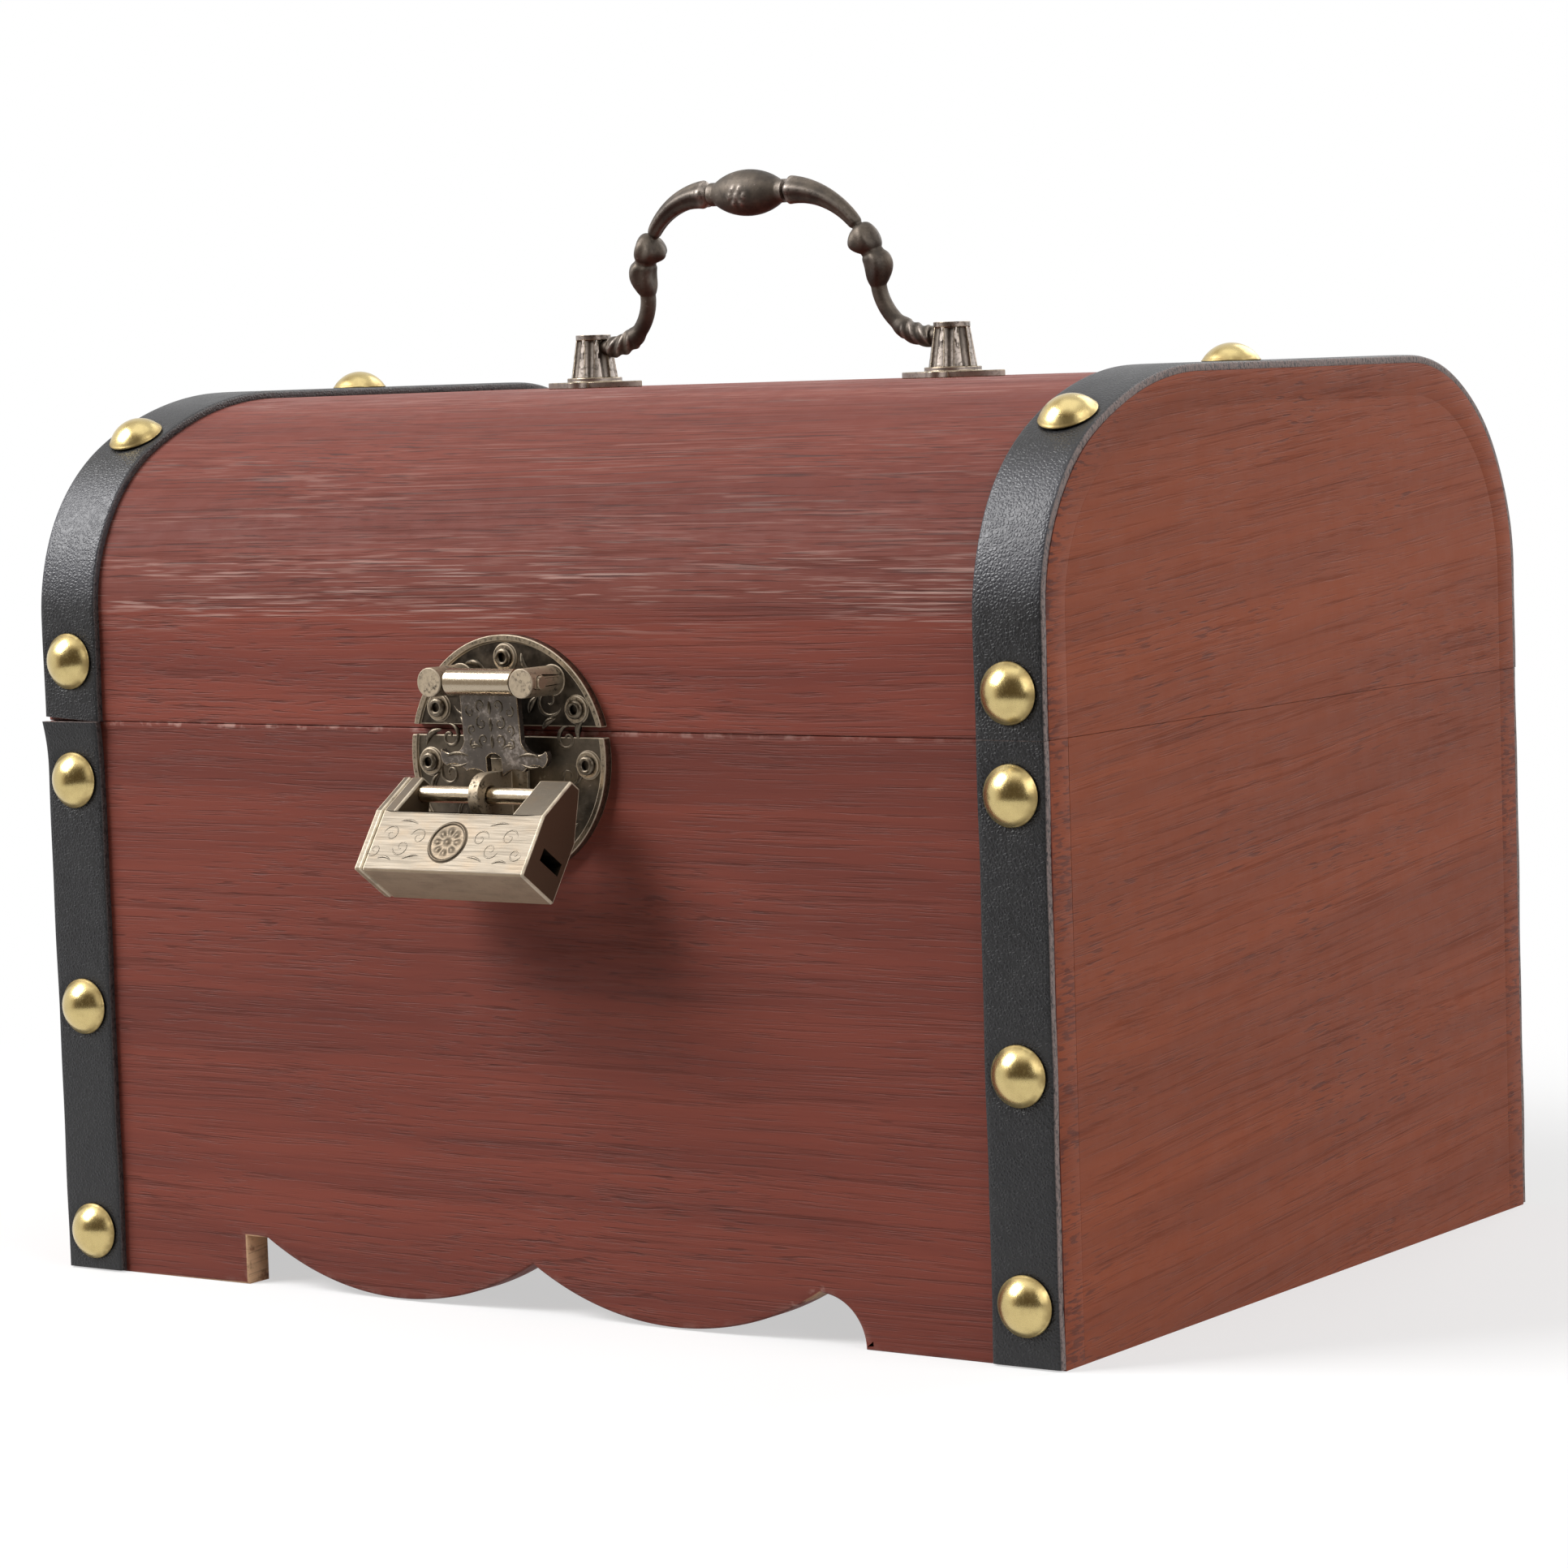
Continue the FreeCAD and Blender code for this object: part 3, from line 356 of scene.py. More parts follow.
class Finish(Nodes):
    """One procedural material: a Principled surface and the nodes that feed it."""

    def __init__(self, name):
        self.material = bpy.data.materials.new(name)
        self.material.use_nodes = True
        super().__init__(self.material.node_tree)
        self.output = self.tree.nodes.new("ShaderNodeOutputMaterial")
        self.surface = self.tree.nodes.new("ShaderNodeBsdfPrincipled")
        self.tree.links.new(self.surface.outputs[0], self.output.inputs["Surface"])

    def place(self, *periods, turn=0.0):
        """Object coordinates, turned about the X axis, divided by a length in millimetres for each axis."""
        coordinates = self.node("ShaderNodeTexCoord", output="Object")
        if turn:
            inputs = {"Vector": coordinates, "Angle": turn}
            coordinates = self.node("ShaderNodeVectorRotate", {"rotation_type": "X_AXIS"}, inputs)
        scale = [1 / (period * MM) for period in periods]
        return self.node("ShaderNodeVectorMath", {"operation": "MULTIPLY"}, {0: coordinates, 1: scale})

    def noise(self, place, detail=2.0, roughness=0.5):
        """Soft noise from 0 to 1 whose waves are one unit of the place long."""
        inputs = {"Vector": place, "Scale": 1.0, "Detail": detail, "Roughness": roughness}
        return self.node("ShaderNodeTexNoise", None, inputs)

    def pebbles(self, place):
        """Distance to the edges between the cells of a random mosaic."""
        settings = {"feature": "DISTANCE_TO_EDGE"}
        return self.node("ShaderNodeTexVoronoi", settings, {"Vector": place, "Scale": 1.0})

    def mark(self, name):
        """Number kept at the mesh's points, and 0 on a piece without it."""
        return self.node("ShaderNodeAttribute", {"attribute_name": name}, None, "Fac")

    def bump(self, height, depth):
        """Normal of a relief whose full height is depth millimetres."""
        return self.node("ShaderNodeBump", None, {"Strength": 1.0, "Distance": depth * MM, "Height": height})

    def coat(self, inputs):
        """Set the surface's sockets by name, then hand out the material."""
        for name, value in inputs.items():
            if not isinstance(value, Value) and name == "Base Color":
                value = (*value, 1.0)
            self.feed(self.surface.inputs[name], value)
        return self.material


def wood_finish(name, look, along, stain, deep, lively, turn=0.0):
    """Stained board with its grain along one axis: bands, lines, pores, rubbed edges and scuffs; on the lid
    also painted sheen and painted shade.

    A slow noise bends the lines of the grain sideways. Lively scales the lines and the pale scuffs, and turn
    tilts the grain about the X axis.
    """
    finish = Finish(name)

    def grain(across, length_along):
        """Coordinates for streaks of a width and a length in millimetres."""
        periods = [across] * 3
        periods[along] = length_along
        return finish.place(*periods, turn=turn)

    def bent(across, length_along, reach):
        """Grain coordinates pushed sideways by the slow noise, as far as reach millimetres."""
        push = (sway - 0.5) * (2 * reach / across)
        straight = grain(across, length_along)
        return finish.node("ShaderNodeVectorMath", {"operation": "ADD"}, {0: straight, 1: push})

    sway = finish.noise(grain(34, 150), 2)
    bands = finish.ramp(finish.noise(bent(8, 320, 4), 4, 0.62), 0.30, 0.70)
    lines = finish.noise(bent(1.25, 48, 2.6), 4, 0.66)
    threads = finish.noise(bent(0.42, 20, 2.6), 3, 0.6)
    pores = finish.noise(bent(0.55, 7.0, 2.6), 1)
    patches = finish.ramp(finish.noise(grain(22, 48), 2), 0.40, 0.64)
    tone = finish.mix(bands, deep, stain)
    dark = finish.ramp(lines, 0.50, 0.70)
    fine = finish.ramp(threads, 0.54, 0.68)
    dashes = finish.ramp(pores, 0.60, 0.72) * patches
    tone = finish.mix(dark * (0.42 * lively), tone, look.streak)
    tone = finish.mix(fine * (0.40 * lively), tone, look.streak)
    tone = finish.mix(dashes * 0.62, tone, look.streak)
    # Darker, greyer stain over the lid's slope: partly weathering, partly painted shade against the light it
    # catches
    aged = finish.mark("aged")
    tone = finish.mix(aged * (fine * 0.40 + 0.36), tone, look.weathering_and_shade)
    # Pale hairs and cracks on the lid's bend and crown: partly rubbed stain, partly painted sheen where the
    # lid faces up
    bend = finish.mark("bend")
    hairs = finish.ramp(finish.noise(bent(0.45, 12, 0.8), 2, 0.6), 0.52, 0.66)
    cracks = finish.ramp(finish.noise(bent(0.42, 18, 0.8), 1), 0.58, 0.66)
    crowded = finish.ramp(finish.noise(grain(4, 60), 2), 0.34, 0.54)
    pale = hairs * patches * (0.03 * lively) + bend * crowded * (hairs * 0.22 + cracks * 0.46)
    tone = finish.mix(pale, tone, look.scuff_and_sheen)
    inside = finish.mark("inside")
    tone = finish.mix(inside * 0.75, tone, finish.mix(dark * 0.5, look.inside, look.deep))
    rubbing = finish.noise(finish.place(4.0, 4.0, 4.0), 3, 0.65)
    rubbed = finish.mark("worn") * finish.ramp(rubbing, 0.46, 0.62)
    tone = finish.mix(rubbed * 0.8, tone, look.scuff_and_sheen)
    raw = finish.mark("raw") * finish.ramp(rubbing, 0.28, 0.48)
    tone = finish.mix(raw, tone, finish.mix(fine * 0.5, look.raw, look.inside))
    ticks = finish.noise(finish.place(90, 3.4, 0.7), 2) + finish.noise(finish.place(90, 60, 11)) * 0.35
    kerf = finish.mark("kerf") * finish.ramp(ticks, 0.71, 0.79)
    tone = finish.mix(kerf * 0.9, tone, look.streak)
    relief = dark * -0.45 + fine * -0.35 + dashes * -0.4 + pale * 0.3
    return finish.coat({
        "Base Color": tone,
        "Roughness": 0.52 + aged * aged * 0.18 + dark * 0.12 + finish.ramp(rubbing, 0.3, 0.7) * 0.08,
        "Specular IOR Level": 0.26,
        "Normal": finish.bump(relief, 0.12),
    })


def raw_wood_finish(name, look):
    """Bare board with faint grain."""
    finish = Finish(name)
    bands = finish.ramp(finish.noise(finish.place(120, 12, 12), 3), 0.3, 0.7)
    lines = finish.ramp(finish.noise(finish.place(40, 0.8, 0.8), 3, 0.6), 0.5, 0.75)
    tone = finish.mix(bands, look.raw, look.inside)
    tone = finish.mix(lines * 0.45, tone, look.deep)
    return finish.coat({
        "Base Color": tone,
        "Roughness": 0.68 + lines * 0.12,
        "Normal": finish.bump(1 - lines, 0.10),
    })


def leather_finish(name, look):
    """Black leather: pebbled grain, painted sheen over the lid's bend and pale fibres on the cut edges."""
    finish = Finish(name)
    grain = look.grain / MM
    pebbles = finish.pebbles(finish.place(grain, grain, grain))
    creases = finish.ramp(pebbles, 0.0, 0.36)
    cloudy = finish.noise(finish.place(9, 9, 9), 3, 0.6)
    fibres = finish.noise(finish.place(0.5, 0.5, 0.9), 3, 0.7)
    dusty = finish.mix(finish.ramp(cloudy, 0.45, 0.75) * 0.5, look.leather, look.dust)
    tone = finish.mix((1 - creases) * 0.5, dusty, look.crease)
    # Painted sheen: paler leather where the strap leans back over the lid's bend
    tone = finish.mix(finish.mark("stretched") * 0.65, tone, look.sheen)
    cut = finish.mark("cut")
    bare = cut * finish.ramp(fibres, 0.30, 0.58)
    tone = finish.mix(bare, tone, look.cut_edge)
    return finish.coat({
        "Base Color": tone,
        "Roughness": 0.38 + finish.ramp(cloudy, 0.3, 0.7) * 0.07 + bare * 0.3,
        "Specular IOR Level": 0.50,
        "Normal": finish.bump(creases * 0.7 + fibres * 0.3, 0.07),
    })


def nail_finish(name, look):
    """Polished brass, dull towards the rim, with fine scratches."""
    finish = Finish(name)
    scratches = finish.noise(finish.place(0.25, 2.2, 0.5), 3, 0.7)
    cloudy = finish.noise(finish.place(3.0, 3.0, 3.0), 3, 0.6)
    rim = finish.mark("rim")
    dull = rim * finish.ramp(cloudy, 0.25, 0.60)
    tone = finish.mix(finish.ramp(cloudy, 0.40, 0.75) * 0.22, look.brass, look.grime)
    tone = finish.mix(dull * 0.75, tone, look.grime)
    return finish.coat({
        "Base Color": tone,
        "Metallic": 1.0,
        "Roughness": 0.24 + finish.ramp(scratches, 0.45, 0.8) * 0.10 + dull * 0.25,
        "Normal": finish.bump(scratches, 0.012),
    })


def bronze_finish(name, look, high, dull=0.40, lift=0.0, bare=None):
    """Antique bronze: dark patina in the hollows, bare metal where edges and high places are rubbed.

    High raises the share of bare metal in spots, the wear mark raises it where a piece asks for it, and lift
    raises it evenly. Dull is the roughness of the patina, and bare the colour of the metal under it.
    """
    finish = Finish(name)
    stipple = finish.noise(finish.place(0.7, 0.7, 0.7), 3, 0.65)
    cloudy = finish.noise(finish.place(4.5, 4.5, 4.5), 3, 0.6)
    tone = finish.mix(finish.ramp(cloudy, 0.34, 0.66), look.patina, look.bronze)
    tone = finish.mix(finish.ramp(stipple, 0.54, 0.70) * 0.4, tone, look.patina)
    spread = finish.ramp(stipple * 0.5 + cloudy * 0.5, 0.66 - high * 0.32, 0.82 - high * 0.32)
    marked = finish.mark("wear") * finish.ramp(stipple, 0.28, 0.56)
    worn = finish.highest(spread, marked)
    tone = finish.mix(worn * (0.85 - lift) + lift, tone, bare or look.rubbed)
    return finish.coat({
        "Base Color": tone,
        "Metallic": 1.0,
        "Roughness": dull - worn * 0.14 + finish.ramp(stipple, 0.4, 0.8) * 0.12,
        "Normal": finish.bump(stipple * (1 - worn * 0.8), 0.05),
    })


def lock_finish(name, look, base, high, metallic=1.0):
    """Brass of the padlock, brushed along its length, darker in cloudy patches and spots; high polishes it.
    """
    finish = Finish(name)
    brushed = finish.noise(finish.place(9.0, 0.25, 0.25), 3, 0.6)
    cloudy = finish.noise(finish.place(5.0, 3.0, 3.0), 3, 0.6)
    spots = finish.noise(finish.place(0.6, 0.6, 0.6), 2, 0.6)
    shade = finish.ramp(cloudy, 0.42, 0.72) * (0.45 - 0.35 * high)
    tone = finish.mix(shade, base, look.lock_aged_and_shade)
    tone = finish.mix(finish.ramp(spots, 0.60, 0.75) * (0.5 - 0.4 * high), tone, look.lock_aged_and_shade)
    return finish.coat({
        "Base Color": tone,
        "Metallic": metallic,
        "Roughness": 0.50 - 0.28 * high + finish.ramp(brushed, 0.35, 0.75) * 0.12,
        "Normal": finish.bump(brushed * 0.6 + spots * 0.4, 0.03),
    })


def steel_finish(name, look):
    """Plain bright steel with light scratches."""
    finish = Finish(name)
    scratches = finish.noise(finish.place(6.0, 0.3, 0.3), 3, 0.6)
    cloudy = finish.noise(finish.place(3.0, 3.0, 3.0), 3, 0.6)
    tone = finish.mix(finish.ramp(cloudy, 0.35, 0.75) * 0.5, look.steel, look.patina)
    return finish.coat({
        "Base Color": tone,
        "Metallic": 1.0,
        "Roughness": 0.30 + finish.ramp(scratches, 0.35, 0.75) * 0.16,
        "Normal": finish.bump(scratches, 0.02),
    })


# Formulas and mesh data

def smooth(value, low, high):
    """Smooth step from 0 at low to 1 at high."""
    share = np.clip((value - low) / (high - low), 0, 1)
    return share * share * (3 - 2 * share)


def hill(value, middle, reach):
    """Bell curve: 1 at the middle, exp(-1) at the reach from it."""
    return np.exp(-((value - middle) / reach) ** 2)


def turned_about_x(points, turn, centre):
    """Points turned about a line along X through a centre."""
    cos = math.cos(turn)
    sin = math.sin(turn)
    rotation = np.array([[1, 0, 0], [0, cos, sin], [0, -sin, cos]])
    return points @ rotation + centre


def from_axis(points, axis_point):
    """Distance of points from the line along X through a point."""
    return np.hypot(points[:, 1] - axis_point[1], points[:, 2] - axis_point[2])


def read(items, name, width=1, kind=float):
    """One property of many items as an array, with a row for each item where it has several numbers."""
    values = np.empty(len(items) * width, dtype=kind)
    items.foreach_get(name, values)
    return values.reshape(-1, width) if width > 1 else values


def write_mark(mesh, name, values, domain="POINT"):
    """Keep a number for each point or edge of a mesh, under a name."""
    mark = mesh.attributes.new(name, "FLOAT", domain)
    mark.data.foreach_set("value", np.asarray(values, dtype=np.float32))


# Meshes from rings of points

# Crease angles in degrees, turns at which faces count as level or sharp, angles over a rounded edge, a face's
# margin in roundings, the shortest mitre, and the share of a nail's reach where its rim begins
BOARD_CREASE = 35.0
EASED_CREASE = 30.0
EYELET_CREASE = 50.0
ROUND_CREASE = 60.0
LEVEL_TURN = math.radians(0.4)
SHARP_TURN = math.radians(32)
ROUNDING = np.radians([0, 30, 60, 90])
FACE_MARGIN = 4.0
SHORTEST_MITRE = 0.35
RIM_REACH = 0.97


def grid_faces(rows, columns):
    """Quads between neighbouring rings of a grid whose last column meets its first."""
    row, column = np.meshgrid(np.arange(rows - 1), np.arange(columns), indexing="ij")
    beside = (column + 1) % columns
    above = row + 1
    quads = np.stack([row * columns + column, row * columns + beside, above * columns + beside,
                      above * columns + column], axis=-1)
    return quads.reshape(-1, 4)


def add_piece(name, body, finishes, shells, replaced=(), crease=BOARD_CREASE):
    """Object from closed shells: each is rings of points with marks, and a flat face closes its two ends.

    Marks are numbers kept at the points, under a name that a finish reads.
    """
    points = np.concatenate([rings.reshape(-1, 3) for rings, marks in shells])
    marks = {key: np.concatenate([np.broadcast_to(marks[key], rings.shape[:2]).ravel()
                                  for rings, marks in shells]) for key in shells[0][1]}
    faces = []
    start = 0
    for rings, own_marks in shells:
        rows, columns = rings.shape[:2]
        faces += (grid_faces(rows, columns) + start).tolist()
        faces.append(list(range(start + columns - 1, start - 1, -1)))
        faces.append(list(range(start + (rows - 1) * columns, start + rows * columns)))
        start += rows * columns
    mesh = bpy.data.meshes.new(name)
    mesh.from_pydata(points.tolist(), [], faces)
    work = bmesh.new()
    work.from_mesh(mesh)
    bmesh.ops.recalc_face_normals(work, faces=work.faces)
    work.to_mesh(mesh)
    work.free()
    for key, values in marks.items():
        write_mark(mesh, key, values)
    return finished(name, mesh, body, finishes, replaced, crease)


def finished(name, mesh, body, finishes, replaced, crease):
    """Object for a mesh, shaded smooth up to the crease angle, riding on a body in place of CAD nodes."""
    mesh.shade_smooth()
    mesh.set_sharp_from_angle(angle=math.radians(crease))
    for finish in finishes:
        mesh.materials.append(finish)
    piece = bpy.data.objects.new(name, mesh)
    bpy.context.scene.collection.objects.link(piece)
    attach(piece, body)
    if replaced:
        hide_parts(*replaced)
    return piece


def weigh_edges(mesh, normals, sharp):
    """Mark the edges to round: the normals of two faces add up to less, the more the faces turn."""
    edge_of_corner = read(mesh.loops, "edge_index", kind=np.int32)
    corners_of_face = read(mesh.polygons, "loop_total", kind=np.int32)
    added = np.zeros((len(mesh.edges), 3))
    np.add.at(added, edge_of_corner, np.repeat(normals, corners_of_face, axis=0))
    weights = (added ** 2).sum(axis=1) < 2 + 2 * math.cos(SHARP_TURN)
    if sharp:
        ends = read(mesh.edges, "vertices", 2, np.int32)
        weights &= ~sharp(read(mesh.vertices, "co", 3)[ends].mean(axis=1))
    write_mark(mesh, "bevel_weight_edge", weights, "EDGE")


def merged_faces(node, plane):
    """Welded copy of a CAD node's mesh whose level triangles are joined.

    A plane, given as a point and a normal, keeps the faces parted along it, so that none runs round a hole.
    """
    work = bmesh.new()
    work.from_mesh(frame["nodes"][node].data)
    bmesh.ops.remove_doubles(work, verts=work.verts, dist=WELD / 10)
    if plane:
        whole = work.verts[:] + work.edges[:] + work.faces[:]
        cut = bmesh.ops.bisect_plane(work, geom=whole, plane_co=plane[0], plane_no=plane[1], dist=WELD / 10)
        for edge in set(cut["geom_cut"]).intersection(work.edges):
            edge.seam = True
    bmesh.ops.dissolve_limit(work, angle_limit=LEVEL_TURN, verts=work.verts, edges=work.edges,
                             delimit={"SEAM"})
    bmesh.ops.recalc_face_normals(work, faces=work.faces)
    mesh = bpy.data.meshes.new(node + "_eased")
    work.to_mesh(mesh)
    work.free()
    if "custom_normal" in mesh.attributes:
        mesh.attributes.remove(mesh.attributes["custom_normal"])
    return mesh


def eased_copy(node, body, finishes, width, wear=None, choose=None, sharp=None, plane=None):
    """Merged copy of a CAD node whose sharp edges a Bevel rounds; the rounding takes the last finish.

    Wear turns the points into the mark of the same name. Choose turns the faces' middles and normals into
    the places of their finishes. Sharp says, by their middles, which edges stay as they are.
    """
    mesh = merged_faces(node, plane)
    if wear:
        write_mark(mesh, "wear", wear(read(mesh.vertices, "co", 3)))
    piece = finished(node + "_eased", mesh, body, finishes, (node,), EASED_CREASE)
    normals = read(mesh.polygons, "normal", 3)
    if choose:
        places = choose(read(mesh.polygons, "center", 3), normals)
        mesh.polygons.foreach_set("material_index", places.astype(np.int32))
    weigh_edges(mesh, normals, sharp)
    bevel = piece.modifiers.new("Rounded edges", "BEVEL")
    bevel.width = width
    bevel.segments = 2
    bevel.limit_method = "WEIGHT"
    bevel.harden_normals = True
    bevel.use_clamp_overlap = False
    bevel.material = len(finishes) - 1
    return piece


def arc_points(start, middle, end, count):
    """Points of the circular arc through three points of a plane, ends included."""
    ax, ay = middle - start
    bx, by = end - start
    cross = 2 * (ax * by - ay * bx)
    square_a = ax * ax + ay * ay
    square_b = bx * bx + by * by
    centre = start + np.array([by * square_a - ay * square_b, ax * square_b - bx * square_a]) / cross
    spokes = np.stack([start, middle, end]) - centre
    turns = np.unwrap(np.arctan2(spokes[:, 1], spokes[:, 0]))
    turn = np.linspace(turns[0], turns[2], count)
    radius = np.hypot(*spokes[0])
    return centre + radius * np.stack([np.cos(turn), np.sin(turn)], axis=1)


def slab(outline, ease, thickness, origin, right, up, inward):
    """Flat board with rounded edges, as rings from its outer face to its inner face.

    A ring moves each outline point inwards along its mitre by ease * (1 - sin t), and below the face by
    ease * (1 - cos t), where t runs from 0 on the face to a right angle on the side. A first ring lies on
    the face, and the inner half mirrors the outer one.
    """
    before = outline - np.roll(outline, 1, axis=0)
    after = np.roll(outline, -1, axis=0) - outline
    normals = [np.stack([-side[:, 1], side[:, 0]], axis=1) / np.linalg.norm(side, axis=1)[:, None]
               for side in (before, after)]
    mitre = normals[0] + normals[1]
    mitre /= np.maximum(np.sum(mitre * normals[0], axis=1), SHORTEST_MITRE)[:, None]
    inset = np.concatenate([[FACE_MARGIN], 1 - np.sin(ROUNDING)])
    depth = np.concatenate([[0.0], 1 - np.cos(ROUNDING)])
    inset = np.concatenate([inset, inset[::-1]])[:, None] * ease
    depth = np.concatenate([depth[:, None] * ease, thickness - depth[::-1, None] * ease])
    flat = outline + inset[..., None] * mitre
    rings = origin + flat[..., :1] * right + flat[..., 1:] * up + depth[..., None] * inward
    half = len(ROUNDING) + 1
    worn = np.zeros(rings.shape[:2])
    worn[1:half - 1] = 1
    inside = np.zeros(rings.shape[:2])
    inside[half + 1:] = 1
    return rings, worn, inside


def rounded_section(width, thickness, outer_round, inner_round, across_count):
    """Closed section of a strip, counterclockwise: flat below, rounded corners, evenly cut outer face."""
    small = np.radians([-90, -45, 0])
    half = width / 2
    low = np.stack([half - inner_round + inner_round * np.cos(small),
                    inner_round + inner_round * np.sin(small)], 1)
    high = np.stack([half - outer_round + outer_round * np.cos(ROUNDING),
                     thickness - outer_round + outer_round * np.sin(ROUNDING)], 1)
    right = np.concatenate([low, high])
    face_x = np.linspace(half - outer_round, outer_round - half, across_count + 2)[1:-1]
    face = np.stack([face_x, np.full(across_count, thickness)], 1)
    return np.concatenate([right, face, right[::-1] * [-1, 1]])


def swept(path, across, outward, section):
    """Rings of a section carried along a path: path + a * across + b * outward."""
    return path[:, None] + section[..., :1] * across[:, None] + section[..., 1:] * outward[:, None]


def turned(profile, seat, axis, sides):
    """Rings of a turned piece: points of radius and height, carried round an axis that stands on a seat."""
    helper = X_AXIS if abs(axis[0]) < 0.9 else Y_AXIS
    first = np.cross(axis, helper)
    first /= np.linalg.norm(first)
    second = np.cross(axis, first)
    turn = np.linspace(0, 2 * np.pi, sides, endpoint=False)
    circle = np.cos(turn)[:, None] * first + np.sin(turn)[:, None] * second
    return seat + profile[:, :1, None] * circle + profile[:, 1:, None] * axis


def solids_of(node):
    """Corner points of each separate solid in a CAD node.

    Triangles that share a corner take the lowest label among them, again and again until no label changes.
    """
    mesh = frame["nodes"][node].data
    points = read(mesh.vertices, "co", 3)
    triangles = read(mesh.loops, "vertex_index", kind=int)
    places, same = np.unique(np.round(points / WELD), axis=0, return_inverse=True)
    triangles = same.reshape(-1)[triangles.reshape(-1, 3)]
    label = np.arange(len(places))
    settled = False
    while not settled:
        lowest = np.repeat(label[triangles].min(axis=1), 3)
        spread = label.copy()
        np.minimum.at(spread, triangles.ravel(), lowest)
        settled = np.array_equal(spread, label)
        label = spread
    return [places[label == value] * WELD for value in np.unique(label)]


def seats_of(node):
    """Seat and outward axis of each round pin in a CAD node.

    The third moment of a turned solid's points lies along its axis. The points farthest from that first
    axis are the head's rim: their middle is the seat, and the direction across their plane is the axis,
    turned away from the shank's end.
    """
    seats = []
    for points in solids_of(node):
        spokes = points - points.mean(axis=0)
        rough = (spokes * np.sum(spokes ** 2, axis=1)[:, None]).sum(axis=0)
        rough /= np.linalg.norm(rough)
        out = np.linalg.norm(spokes - (spokes @ rough)[:, None] * rough, axis=1)
        rim = points[out > RIM_REACH * out.max()]
        seat = (rim.min(axis=0) + rim.max(axis=0)) / 2
        axis = np.linalg.svd(rim - seat)[2][2]
        rise = (points - seat) @ axis
        axis = axis if rise.max() < -rise.min() else -axis
        seats.append((seat, axis))
    return seats


# Boards

# Shares of bare and rubbed wood, strength of the kerf, cosine past which a face looks along a direction,
# steps along the lid, and steps over its eased feet in roundings
CUSP_BARE = 0.6
EDGE_RUB = 0.15
# Corner rub: more at the top left, so the seam's eased edge is paler at the left, partly wear, partly painted
# highlight
CORNER_RUB = (0, 0.1, 0.9, 0)
KERF_SHADE = 0.7
ALONG = 0.9
SKIN_STEP = 0.75 * MM
LID_END_STEP = 1.5 * MM
FOOT_STEPS = (0, 0.15, 0.5, 1, 3)


def lid_arch(wood, step):
    """Distance, points, outward directions and slope over the lid, from its front foot to its back foot.

    The slope of the outward direction is read from a table over the distance: level on the straight front,
    turning evenly through the tight bend, the wide bend and the back bend, upright on the flat top.
    The points are the running sum of the direction of travel.
    """
    lean = wood.bend_angle
    rise = wood.bend_radius * math.sin(lean) + wood.crown_radius * (1 - math.sin(lean))
    crown_y = FRONT_Y + wood.bend_radius + (wood.crown_radius - wood.bend_radius) * math.cos(lean)
    front_run = TOP - rise - LID_FLOOR
    top_run = BACK_Y - wood.back_radius - crown_y
    back_run = TOP - wood.back_radius - LID_FLOOR
    runs = [0, front_run, wood.bend_radius * lean, wood.crown_radius * (math.pi / 2 - lean), top_run,
            wood.back_radius * math.pi / 2, back_run]
    stops = np.cumsum(runs)
    slopes = [0, 0, lean, math.pi / 2, math.pi / 2, math.pi, math.pi]
    count = int(stops[-1] / step) + 1
    distance = np.linspace(0, stops[-1], count)
    gap = distance[1]
    middle = np.interp(distance[:-1] + gap / 2, stops, slopes)
    travel = np.stack([np.zeros(count - 1), np.sin(middle), np.cos(middle)], axis=1) * gap
    path = np.concatenate([np.zeros((1, 3)), np.cumsum(travel, axis=0)]) + [0, FRONT_Y, LID_FLOOR]
    slope = np.interp(distance, stops, slopes)
    outward = np.stack([np.zeros(count), -np.cos(slope), np.sin(slope)], axis=1)
    return distance, path, outward, slope


def front_outline(wood):
    """Outline of the front board seen from the front, with each point's rounding, bare wood and rubbing."""
    rise = wood.skirt_rise
    span = wood.lobe_span
    low = wood.lobe_floor_gap
    shoulder = rise * math.sqrt(0.5)
    lobe = [arc_points(np.array([x, rise]), np.array([x + span / 2, low]), np.array([x + span, rise]), 60)
            for x in (-span, 0)]
    round_foot = arc_points(np.array([span, rise]), np.array([span + shoulder, shoulder]),
                            np.array([span + rise, 0]), 24)
    notch_x = -span - wood.notch_width
    notch = np.array([[notch_x, 0], [notch_x, rise / 2], [notch_x, rise],
                      [notch_x + wood.notch_width / 2, rise]])
    skirt = np.concatenate([notch, lobe[0][:-1], lobe[1][:-1], round_foot])
    ends = np.array([[HALF_LENGTH, 0], [HALF_LENGTH, SEAM], [-HALF_LENGTH, SEAM], [-HALF_LENGTH, 0]])
    outline = np.concatenate([skirt, ends])
    ease = np.full(len(outline), wood.edge_ease)
    ease[-4:] = [wood.joint_ease, wood.seam_ease, wood.seam_ease, wood.joint_ease]
    raw = np.zeros(len(outline))
    raw[:len(notch)] = 1
    cusp = len(notch) + len(lobe[0]) + len(lobe[1]) - 2
    raw[cusp - 3:cusp + 1] = CUSP_BARE
    rub = np.full(len(outline), EDGE_RUB)
    rub[cusp - 5:cusp + 2] = 1
    rub[-4:] = CORNER_RUB
    return outline, ease, raw, rub


